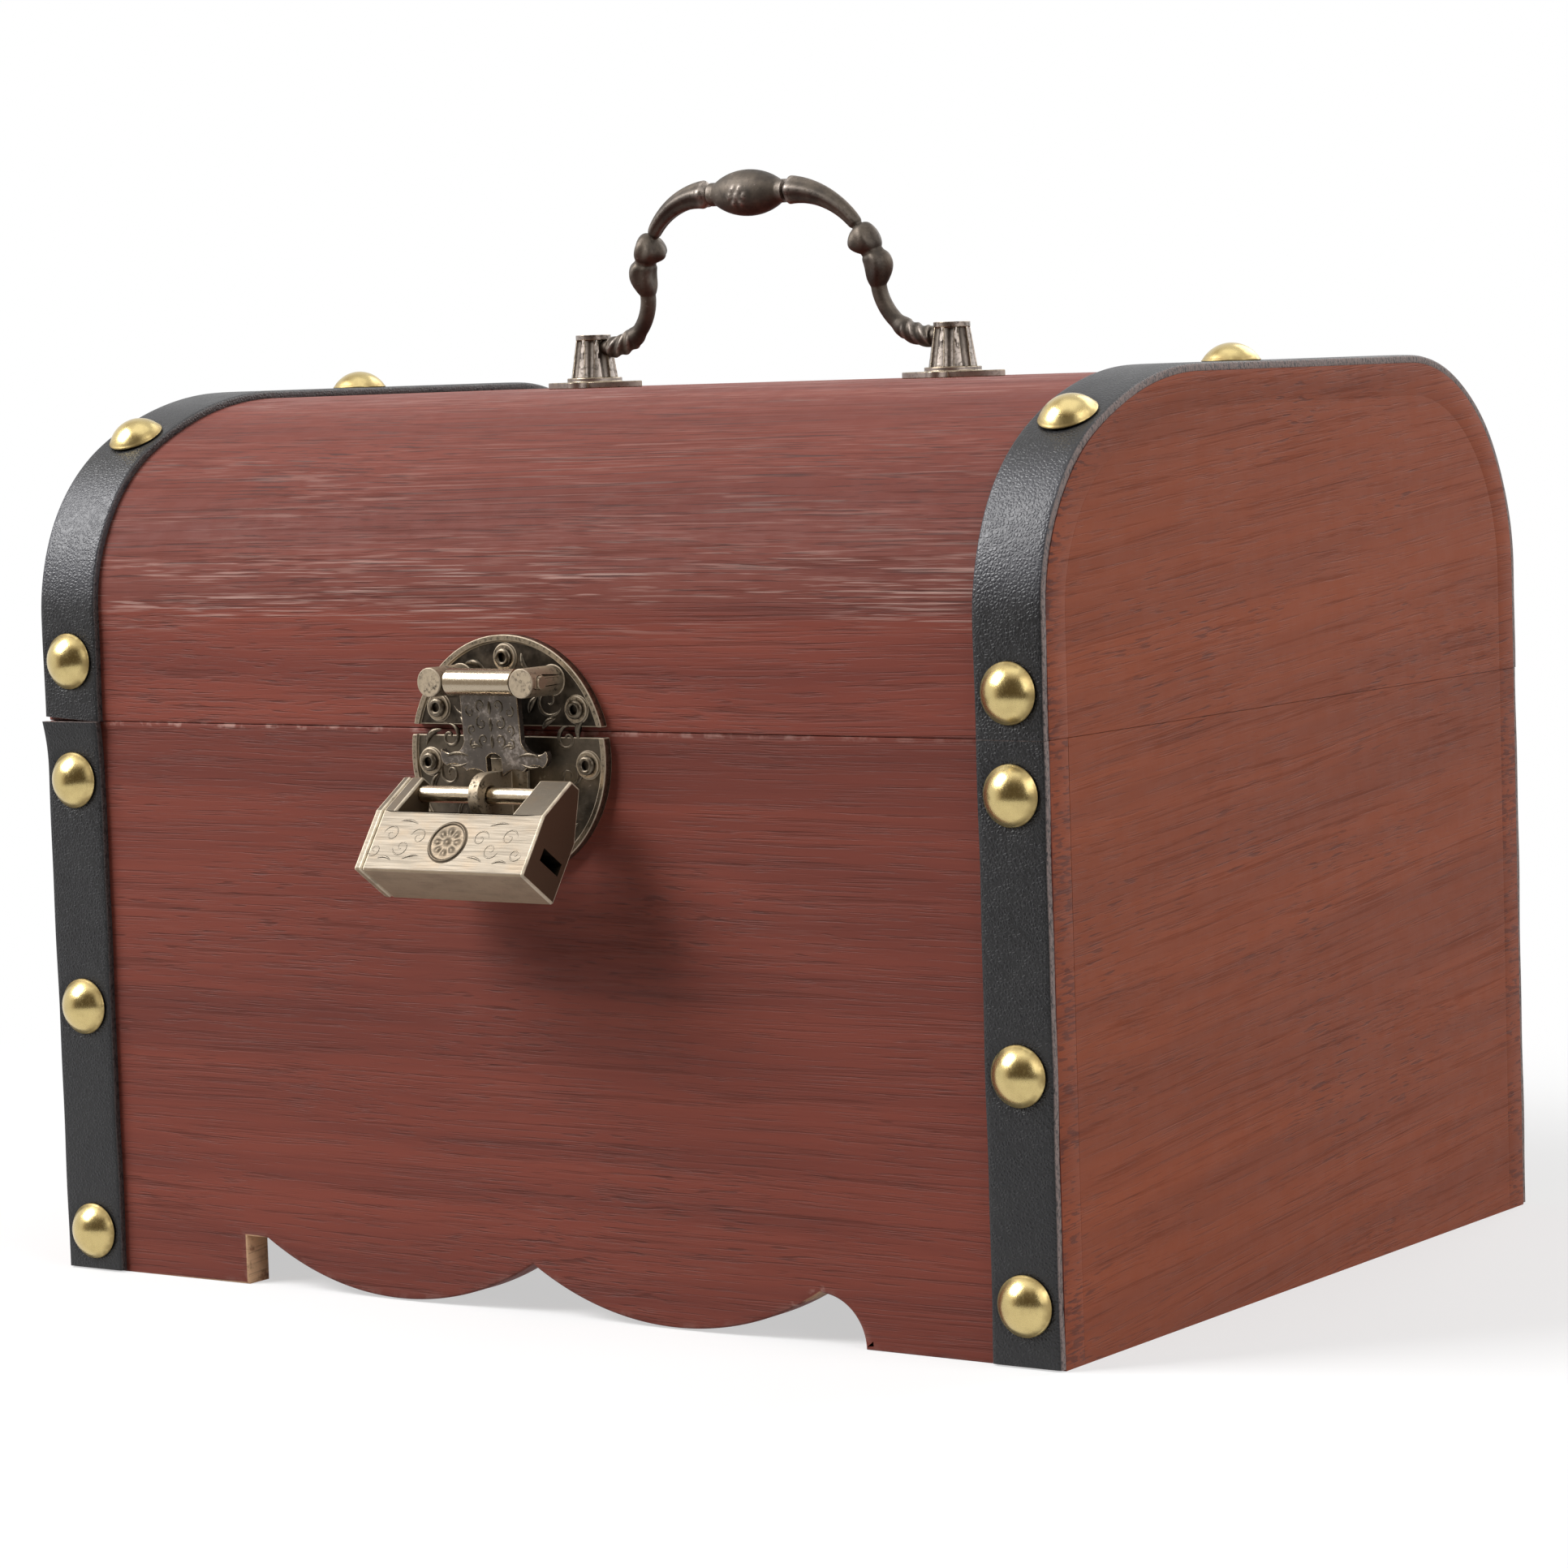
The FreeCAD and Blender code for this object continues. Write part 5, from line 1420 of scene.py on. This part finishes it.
def build_padlock(chest):
    """Case and bolt with rounded edges, springs that the slide squeezes, medallion and engraving."""
    metal = chest.metal
    brass = lock_finish("padlock_brass_face", metal, metal.lock_brass, 0.0)
    # Ends: painted shade on the padlock's end faces
    aged = lock_finish("padlock_brass_ends", metal, metal.lock_aged_and_shade, 0.2)
    bright = lock_finish("padlock_brass_bar", metal, metal.lock_bare_and_highlight, 1.0)
    # Rounded edges: bare brass paler than the faces, partly rubbed metal, partly a painted highlight
    edges = lock_finish("padlock_brass_edges", metal, metal.lock_bare_and_highlight, 0.0, 0.45)
    raised = lock_finish("padlock_brass_relief", metal, metal.lock_brass, 0.5)
    # Case: painted light, lighter than the face on the other sides of the same brass
    shaded = lock_finish("padlock_brass_case", metal, metal.lock_case_lit, 0.0)
    medal = lock_finish("padlock_brass_rosette", metal, metal.medal, 0.3)
    # Keyhole and pocket: painted shade, the dark patina colour where the openings fall into shade
    hollow = lock_finish("padlock_brass_keyhole", metal, metal.patina, 0.0)
    steel = steel_finish("spring_steel_springs", metal)
    out = turned_about_x(-Y_AXIS, LOCK_LEAN, 0)
    up = turned_about_x(Z_AXIS, LOCK_LEAN, 0)
    case_end = corners("padlock_body")[1][0]
    stem = np.mean(corners("padlock_springs"), axis=0)

    def hollow_part(middles):
        """Near the stem's axis, well within the case's section: its mouth, its chamber and its key slot."""
        return from_axis(middles, stem) < HOLLOW_REACH

    def inner_edge(middles):
        """Edges within the case's section and those of the bar and its holes."""
        return hollow_part(middles) | (from_axis(middles, EYE) < BAR_HOLE_REACH)

    def brass_by_side(middles, normals):
        """Pale front, a case lifted lighter as painted light, ends darkened as painted shade, painted shade
        in the keyhole and pocket, and a bright bar round the staple's eye.
        """
        keyhole = hollow_part(middles) & between(case_end - middles[:, 0], KEYHOLE_DEPTH)
        pocket = (normals @ up > ALONG) & between((middles - stem) @ up, POCKET_HEIGHT)
        at_end = np.abs(normals[:, 0]) > ALONG
        bar = from_axis(middles, EYE) < BAR_REACH
        return np.select([keyhole | pocket, at_end, bar, normals @ out > ALONG], [4, 2, 3, 0], 1)

    finishes = [brass, shaded, aged, bright, hollow, edges]
    for node, body in (("padlock_body", "padlock"), ("padlock_bolt", "padlock_bolt")):
        eased_copy(node, body, finishes, metal.lock_edge, None, brass_by_side, inner_edge,
                   (stem, out))
    springs = eased_copy("padlock_springs", "padlock_bolt", [steel], metal.edge / 4)
    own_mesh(springs)

    def on_face(flat):
        """Points of a plane laid on the leaning padlock's face, about its middle."""
        upright = flat[:, :1] * X_AXIS + (flat[:, 1:] + LOCK_MIDDLE) * Z_AXIS + LOCK_FACE * Y_AXIS
        return turned_about_x(upright, LOCK_LEAN, EYE)

    across, along, rise = medallion(MEDALLION_RADIUS, MEDALLION_HEIGHT)
    heart = on_face(np.zeros((1, 2)))
    rings = heart + across[..., None] * X_AXIS + along[..., None] * up + rise[..., None] * out
    add_piece("padlock_medallion", "padlock", [medal], [(rings, {})], (), ROUND_CREASE)
    fine = metal.engraving / MM
    strands = [scroll((side * x, z), size, LOCK_TURNS, math.pi * (side < 0), hand * side, fine)
               for side in (-1, 1) for x, z, size, hand in LOCK_SCROLLS]
    strands += leaf_pairs(LOCK_LEAVES, fine)
    shells = relief(strands, on_face, out, ENGRAVING_SINK)
    add_piece("padlock_engraving", "padlock", [raised], shells, (), ROUND_CREASE)


# Carrying handle

# Cut of the bail's rings, lengths over which its ornament blends, petals of the flower, place, radius and
# flare of the posts, and the depth under their outline that is rubbed
BAIL_STEP = 0.2 * MM
BAIL_SIDES = 56
ROPE_BLEND = (2 * MM, 0.8 * MM)
FLUTES_END = (5 * MM, 2.5 * MM)
FLUTES_BEGIN = 1.0 * MM
KNOB_PETALS = 2.0 * MM
LIP_WEAR = (0.9 * MM, 1.3 * MM)
PETAL_RING = 1.55 * MM
PETAL_WIDTH = 0.55 * MM
HEART_WIDTH = 0.6 * MM
POST_X = 41 * MM
POST_TOP_RADIUS = 3.35 * MM
POST_FLARE = 1.15 / 10.2
RIDGE = (0.55 * MM, 0.15 * MM)
FOOT_WEAR = 0.9

# Grooves beside each knob: place beyond it and width
GROOVES = ((2.9 * MM, 0.45 * MM), (-3.0 * MM, 0.40 * MM))


def barrel_radius(offset, half_length, radius, end_radius):
    """Radius of a barrel whose outline is a circular arc, and nothing beyond its ends."""
    sag = radius - end_radius
    sweep = (half_length ** 2 + sag ** 2) / (2 * sag)
    outline = np.sqrt(np.maximum(sweep ** 2 - offset ** 2, 0)) - (sweep - radius)
    return np.where(np.abs(offset) > half_length, 0, outline)


def bail_rings(look):
    """Cast bail as rings along its line, from the left post to the right one.

    The heading over the distance is read from a table: level grip, shoulder bend, plumb waist, foot bend,
    level end. The radius is the largest of bead, neck, trumpet arm, knob, bud and rod. Flutes, petals, rope
    and a flower are added to it as cosines of the angle round the line, and grooves are taken away.
    """
    flat_run = look.post_face - look.foot_radius - look.shoulder_radius
    plumb_run = look.rise - look.shoulder_radius - look.foot_radius
    runs = [0, flat_run, look.shoulder_radius * math.pi / 2, plumb_run, look.foot_radius * math.pi / 2,
            look.pin_end - look.post_face]
    stops = np.cumsum(runs)
    headings = np.array([0, 0, -1, -1, 0, 0]) * math.pi / 2
    far = np.linspace(0, stops[-1], int(stops[-1] / BAIL_STEP) + 1)
    middle = np.interp(far[:-1] + far[1] / 2, stops, headings)
    x = np.concatenate([[0], np.cumsum(np.cos(middle) * far[1])])
    z = look.rise + np.concatenate([[0], np.cumsum(np.sin(middle) * far[1])])
    heading = np.interp(far, stops, headings)

    bead_end = look.bead_length / 2
    lip = bead_end + look.lip_gap
    knob = flat_run + look.shoulder_radius * (math.pi / 2 - look.knob_angle)
    bud = flat_run + look.shoulder_radius * (math.pi / 2 - look.bud_angle)
    rope_start = stops[4] - look.rope_length
    bead = barrel_radius(far, bead_end, look.bead_radius, look.neck_radius)
    neck = np.where(far < lip, look.neck_radius, 0)
    narrowing = np.clip((knob - far) / (knob - lip), 0, 1) ** 1.6
    trumpet = look.arm_radius + (look.lip_radius - look.arm_radius) * narrowing
    trumpet = trumpet * smooth(far, lip - look.lip_blend, lip + look.lip_blend)
    ball = np.sqrt(np.maximum(look.knob_radius ** 2 - (far - knob) ** 2, 0))
    bulb = barrel_radius(far - bud, look.bud_length / 2, look.bud_radius, look.bud_end_radius)
    rod = np.where(far > knob, look.waist_radius, 0)
    rod = rod + (look.rope_radius - look.waist_radius) * smooth(far, rope_start - ROPE_BLEND[0], rope_start)
    base = np.max([bead, neck, trumpet, ball, bulb, rod], axis=0)
    base = np.where(far > stops[4], np.minimum(base, look.waist_radius), base)
    at_bud = hill(far, bud, look.bud_reach)
    offset = look.bud_outset * at_bud - look.knob_inset * hill(far, knob, look.knob_reach)

    turn = np.linspace(0, 2 * np.pi, BAIL_SIDES, endpoint=False)[None, :]
    far_column = far[:, None]
    radius = np.repeat(base[:, None], BAIL_SIDES, axis=1)
    arm = smooth(far, lip, lip + FLUTES_BEGIN)
    arm = arm * (1 - smooth(far, knob - FLUTES_END[0], knob - FLUTES_END[1]))
    flute = np.cos(5 * turn) * arm[:, None]
    radius = radius + look.flute_depth * flute * (radius / look.lip_radius)
    petal = np.cos(5 * turn) * at_bud[:, None] + np.cos(6 * turn) * hill(far_column, knob, KNOB_PETALS)
    twist = smooth(far, rope_start, rope_start + ROPE_BLEND[1]) * (far < stops[4] - 0.1 * MM)
    strand = np.cos(4 * turn + far_column / look.rope_pitch) * twist[:, None]
    groove = sum(hill(far_column, knob + place, width) for place, width in GROOVES)
    flower = flower_on_bead(far_column, turn, look.bead_radius)
    radius = radius + look.flute_depth * petal + look.rope_depth * strand - look.groove_depth * groove
    radius = radius + look.flower_height * flower
    wear = 0.02 + 0.28 * flute + 0.6 * strand + 0.15 * petal + 1.2 * flower
    wear = wear + 0.7 * hill(far_column, lip + LIP_WEAR[0], LIP_WEAR[1]) - 0.6 * groove

    def both(values, sign=1):
        """Left half mirrored before the right half."""
        return np.concatenate([sign * values[:0:-1], values])

    heading = both(heading, -1)
    normal = np.stack([-np.sin(heading), np.zeros(len(heading)), np.cos(heading)], axis=1)
    line = np.stack([both(x, -1), np.zeros(len(heading)), both(z)], axis=1) + both(offset)[:, None] * normal
    radius = both(radius)[..., None]
    round_line = np.cos(turn)[..., None] * normal[:, None] + np.sin(turn)[..., None] * Y_AXIS
    rings = turned_about_x(line[:, None] + radius * round_line, look.lean, HANDLE_PIVOT)
    return rings, {"wear": np.clip(both(wear), 0, 1)}


def flower_on_bead(far, turn, radius):
    """Six petals round a heart, on the front and the back of the bead, from 0 to 1."""
    flower = 0
    for front in (-1, 1):
        around = radius * (np.mod(turn - front * np.pi / 2 + np.pi, 2 * np.pi) - np.pi)
        reach = np.hypot(far, around)
        petals = hill(reach, PETAL_RING, PETAL_WIDTH) * (0.5 + 0.5 * np.cos(6 * np.arctan2(around, far)))
        flower = flower + petals + hill(reach, 0, HEART_WIDTH)
    return flower


def build_handle(chest):
    """Feet and fluted posts with rounded edges, screws, and the cast bail."""
    metal = chest.metal
    bronze = bronze_finish("antique_bronze_posts", metal, 0.3, 0.44, 0.14, metal.cast)
    rubbed = bronze_finish("antique_bronze_post_edges", metal, 1.0)
    cast = bronze_finish("antique_bronze_bail", metal, 0.2, 0.56, 0.12, metal.cast)
    foot = bronze_finish("antique_bronze_feet", metal, 0.5, 0.46, 0.50, metal.cast)
    steel = steel_finish("spring_steel_screws", metal)
    post_top = corners("handle_left_post")[1][2]

    def worn_post(points):
        """Ridges between the flutes are rubbed: far from the post's axis for their height."""
        reach = np.hypot(np.abs(points[:, 0]) - POST_X, points[:, 1] - HANDLE_PIVOT[1])
        cone = POST_TOP_RADIUS + POST_FLARE * (post_top - points[:, 2])
        return np.interp(reach - cone, (-RIDGE[0], -RIDGE[1]), (0, 1))

    def worn_foot(points):
        """Feet are rubbed all over."""
        return np.full(len(points), FOOT_WEAR)

    for name in ("handle_left", "handle_right"):
        eased_copy(name + "_foot", "lid", [foot, rubbed], metal.edge, worn_foot)
        eased_copy(name + "_post", "lid", [bronze, rubbed], metal.edge / 2, worn_post)
    eased_copy("handle_screws", "lid", [steel], metal.edge)
    shell = bail_rings(chest.bail)
    add_piece("handle_bail_cast", "bail", [cast], [shell], ("handle_bail",), ROUND_CREASE)


# Stage

# Places of the camera and of the chest's middle, radii of the floor and where it fades into white
CAMERA_PLACE = np.array([518.03, -744.31, 166.10]) * MM
CHEST_MIDDLE = TOP / 2 * Z_AXIS
FLOOR_RINGS = (0.02, 0.2, 0.4, 0.46)
FLOOR_SIDES = 64
FLOOR_FADE = (0.14, 0.40)

# Soft lights: bearing and height in degrees, distance from the chest's middle and size in metres
LIGHTS = (("key", -48, 40, 1.20, 0.62), ("fill", 78, 28, 1.25, 0.95), ("top", 10, 82, 1.10, 0.80),
          ("back", 165, 35, 1.30, 1.00))

# Bright walls in reflections: direction, and where along it they begin and are full
WALLS = (("Y", -0.30, 0.50), ("Z", 0.60, 0.95), ("X", -0.35, -0.85))


def build_stage(chest):
    """Floor, surroundings, camera and lights."""
    look = chest.stage
    add_floor()
    add_world(look)
    add_camera(look)
    for name, bearing, height, distance, size in LIGHTS:
        add_light(name, getattr(look, name), math.radians(bearing), math.radians(height), distance, size)
    bpy.context.scene.view_settings.view_transform = "Standard"


def add_floor():
    """White disc whose far part fades into the white surroundings; it throws little light on the chest."""
    radius = np.array(FLOOR_RINGS)[:, None]
    turn = np.linspace(0, 2 * np.pi, FLOOR_SIDES, endpoint=False)
    rings = np.stack(np.broadcast_arrays(radius * np.cos(turn), radius * np.sin(turn), 0.0), axis=-1)
    faces = grid_faces(*rings.shape[:2])[:, ::-1].tolist() + [list(range(FLOOR_SIDES))]
    mesh = bpy.data.meshes.new("floor")
    mesh.from_pydata(rings.reshape(-1, 3).tolist(), [], faces)
    floor = bpy.data.objects.new("floor", mesh)
    bpy.context.scene.collection.objects.link(floor)
    finish = Finish("white_floor")
    bounced = finish.node("ShaderNodeLightPath", output="Is Diffuse Ray")
    tone = finish.mix(bounced, (0.9, 0.9, 0.9), (0.28, 0.28, 0.28))
    finish.coat({"Base Color": tone, "Roughness": 0.9, "Specular IOR Level": 0.1})
    coordinates = finish.node("ShaderNodeTexCoord", output="Object")
    reach = finish.node("ShaderNodeVectorMath", {"operation": "LENGTH"}, {0: coordinates}, "Value")
    seen = finish.highest(finish.node("ShaderNodeLightPath", output="Is Camera Ray"),
                          finish.node("ShaderNodeLightPath", output="Is Glossy Ray"))
    white = finish.node("ShaderNodeEmission", None, {"Color": (1, 1, 1, 1), "Strength": 1.0})
    share = seen * finish.ramp(reach, *FLOOR_FADE, 0.55, 1.0)
    surface = Value(finish, finish.surface.outputs[0])
    blend = finish.node("ShaderNodeMixShader", None, {0: share, 1: surface, 2: white})
    finish.feed(finish.output.inputs["Surface"], blend)
    mesh.materials.append(finish.material)


def add_world(look):
    """Studio room: white to the camera; reflections see white walls overhead, behind and at the left."""
    world = bpy.data.worlds.new("studio")
    world.use_nodes = True
    bpy.context.scene.world = world
    room = Nodes(world.node_tree)
    direction = room.node("ShaderNodeTexCoord", output="Generated")
    walls = look.front_wall
    for axis, low, high in WALLS:
        part = room.node("ShaderNodeSeparateXYZ", None, {0: direction}, axis)
        walls = room.highest(walls, room.ramp(part, low, high))
    seen = room.node("ShaderNodeLightPath", output="Is Camera Ray")
    glossy = room.node("ShaderNodeLightPath", output="Is Glossy Ray")
    clear = room.node("ShaderNodeLightPath", output="Is Transmission Ray")
    mirrored = room.highest(glossy, clear)
    strength = seen + mirrored * walls + (1 - room.highest(seen, mirrored)) * look.ambient
    tint = room.mix(room.highest(walls, seen), look.wall_tint, (1, 1, 1))
    light = room.node("ShaderNodeBackground", None, {"Color": tint, "Strength": strength})
    room.node("ShaderNodeOutputWorld", None, {"Surface": light}, None)


def aim(azimuth, elevation):
    """Directions right, up and back of something that looks at the chest from a bearing and a height."""
    level = math.cos(elevation)
    back = np.array([math.sin(azimuth) * level, -math.cos(azimuth) * level, math.sin(elevation)])
    right = np.array([math.cos(azimuth), math.sin(azimuth), 0])
    return right, np.cross(back, right), back


def put_object(name, data, right, up, back, place):
    """Object with these axes at a place of the scene."""
    item = bpy.data.objects.new(name, data)
    matrix = np.eye(4)
    matrix[:3] = np.stack([right, up, back, place], axis=1)
    item.matrix_world = Matrix(matrix.tolist())
    bpy.context.scene.collection.objects.link(item)
    return item


def add_camera(look):
    """Camera at the photograph's place: its axes are turned by azimuth, elevation and roll."""
    level, upright, back = aim(look.azimuth, look.elevation)
    right = math.cos(look.roll) * level + math.sin(look.roll) * upright
    up = math.cos(look.roll) * upright - math.sin(look.roll) * level
    data = bpy.data.cameras.new("photograph")
    data.sensor_width = 36.0
    data.lens = look.focal * data.sensor_width
    data.clip_start = 0.01
    bpy.context.scene.camera = put_object("photograph", data, right, up, back, CAMERA_PLACE)


def add_light(name, watts, azimuth, elevation, distance, size):
    """Square soft light that faces the chest's middle."""
    data = bpy.data.lights.new(name, "AREA")
    data.shape = "SQUARE"
    data.size = size
    data.energy = watts
    right, up, back = aim(azimuth, elevation)
    put_object(name, data, right, up, back, CHEST_MIDDLE + distance * back)


# Operators, panel and registration

class BuildOperator:
    """Shared execute of the operators: build with the scene's settings."""

    def execute(self, context):
        type(self).build(context.scene.treasure_chest)
        return {"FINISHED"}


class CHEST_OT_boards(BuildOperator, bpy.types.Operator):
    """Boards of the body and the lid, with eased edges and stained grain"""
    bl_idname = "chest.boards"
    bl_label = "Boards"
    build = staticmethod(build_boards)


class CHEST_OT_straps(BuildOperator, bpy.types.Operator):
    """Leather straps with dents round the nails"""
    bl_idname = "chest.straps"
    bl_label = "Straps"
    build = staticmethod(build_straps)


class CHEST_OT_nails(BuildOperator, bpy.types.Operator):
    """Brass dome nails on the straps"""
    bl_idname = "chest.nails"
    bl_label = "Nails"
    build = staticmethod(build_nails)


class CHEST_OT_hinges(BuildOperator, bpy.types.Operator):
    """Hinges with their pins and screws"""
    bl_idname = "chest.hinges"
    bl_label = "Hinges"
    build = staticmethod(build_hinges)


class CHEST_OT_latch(BuildOperator, bpy.types.Operator):
    """Round latch plate with scrolls, staple and hasp"""
    bl_idname = "chest.latch"
    bl_label = "Latch"
    build = staticmethod(build_latch)


class CHEST_OT_padlock(BuildOperator, bpy.types.Operator):
    """Padlock with its bolt, springs, medallion and engraving"""
    bl_idname = "chest.padlock"
    bl_label = "Padlock"
    build = staticmethod(build_padlock)


class CHEST_OT_handle(BuildOperator, bpy.types.Operator):
    """Carrying handle: feet, posts and cast bail"""
    bl_idname = "chest.handle"
    bl_label = "Handle"
    build = staticmethod(build_handle)


class CHEST_OT_stage(BuildOperator, bpy.types.Operator):
    """Floor, soft lights, surroundings and camera"""
    bl_idname = "chest.stage"
    bl_label = "Stage"
    build = staticmethod(build_stage)


SETTINGS = (WoodSettings, StrapSettings, NailSettings, MetalSettings, BailSettings, StageSettings,
            ChestSettings)
OPERATORS = (CHEST_OT_boards, CHEST_OT_straps, CHEST_OT_nails, CHEST_OT_hinges, CHEST_OT_latch,
             CHEST_OT_padlock, CHEST_OT_handle, CHEST_OT_stage)


class CHEST_PT_sidebar(bpy.types.Panel):
    """Settings and operators of the chest"""
    bl_idname = "CHEST_PT_sidebar"
    bl_label = "Treasure Chest"
    bl_space_type = "VIEW_3D"
    bl_region_type = "UI"
    bl_category = "Chest"

    def draw(self, context):
        chest = context.scene.treasure_chest
        for group in ("wood", "strap", "nail", "metal", "bail", "stage"):
            box = self.layout.box()
            box.label(text=group.capitalize())
            settings = getattr(chest, group)
            for name in settings.__annotations__:
                box.prop(settings, name)
        for operator in OPERATORS:
            self.layout.operator(operator.bl_idname)


CLASSES = SETTINGS + OPERATORS + (CHEST_PT_sidebar,)


def register():
    for item in CLASSES:
        bpy.utils.register_class(item)
    bpy.types.Scene.treasure_chest = PointerProperty(type=ChestSettings)


def unregister():
    del bpy.types.Scene.treasure_chest
    for item in reversed(CLASSES):
        bpy.utils.unregister_class(item)


def main():
    register()
    bpy.ops.chest.boards()
    bpy.ops.chest.straps()
    bpy.ops.chest.nails()
    bpy.ops.chest.hinges()
    bpy.ops.chest.latch()
    bpy.ops.chest.padlock()
    bpy.ops.chest.handle()
    bpy.ops.chest.stage()


if __name__ == "__main__":
    main()
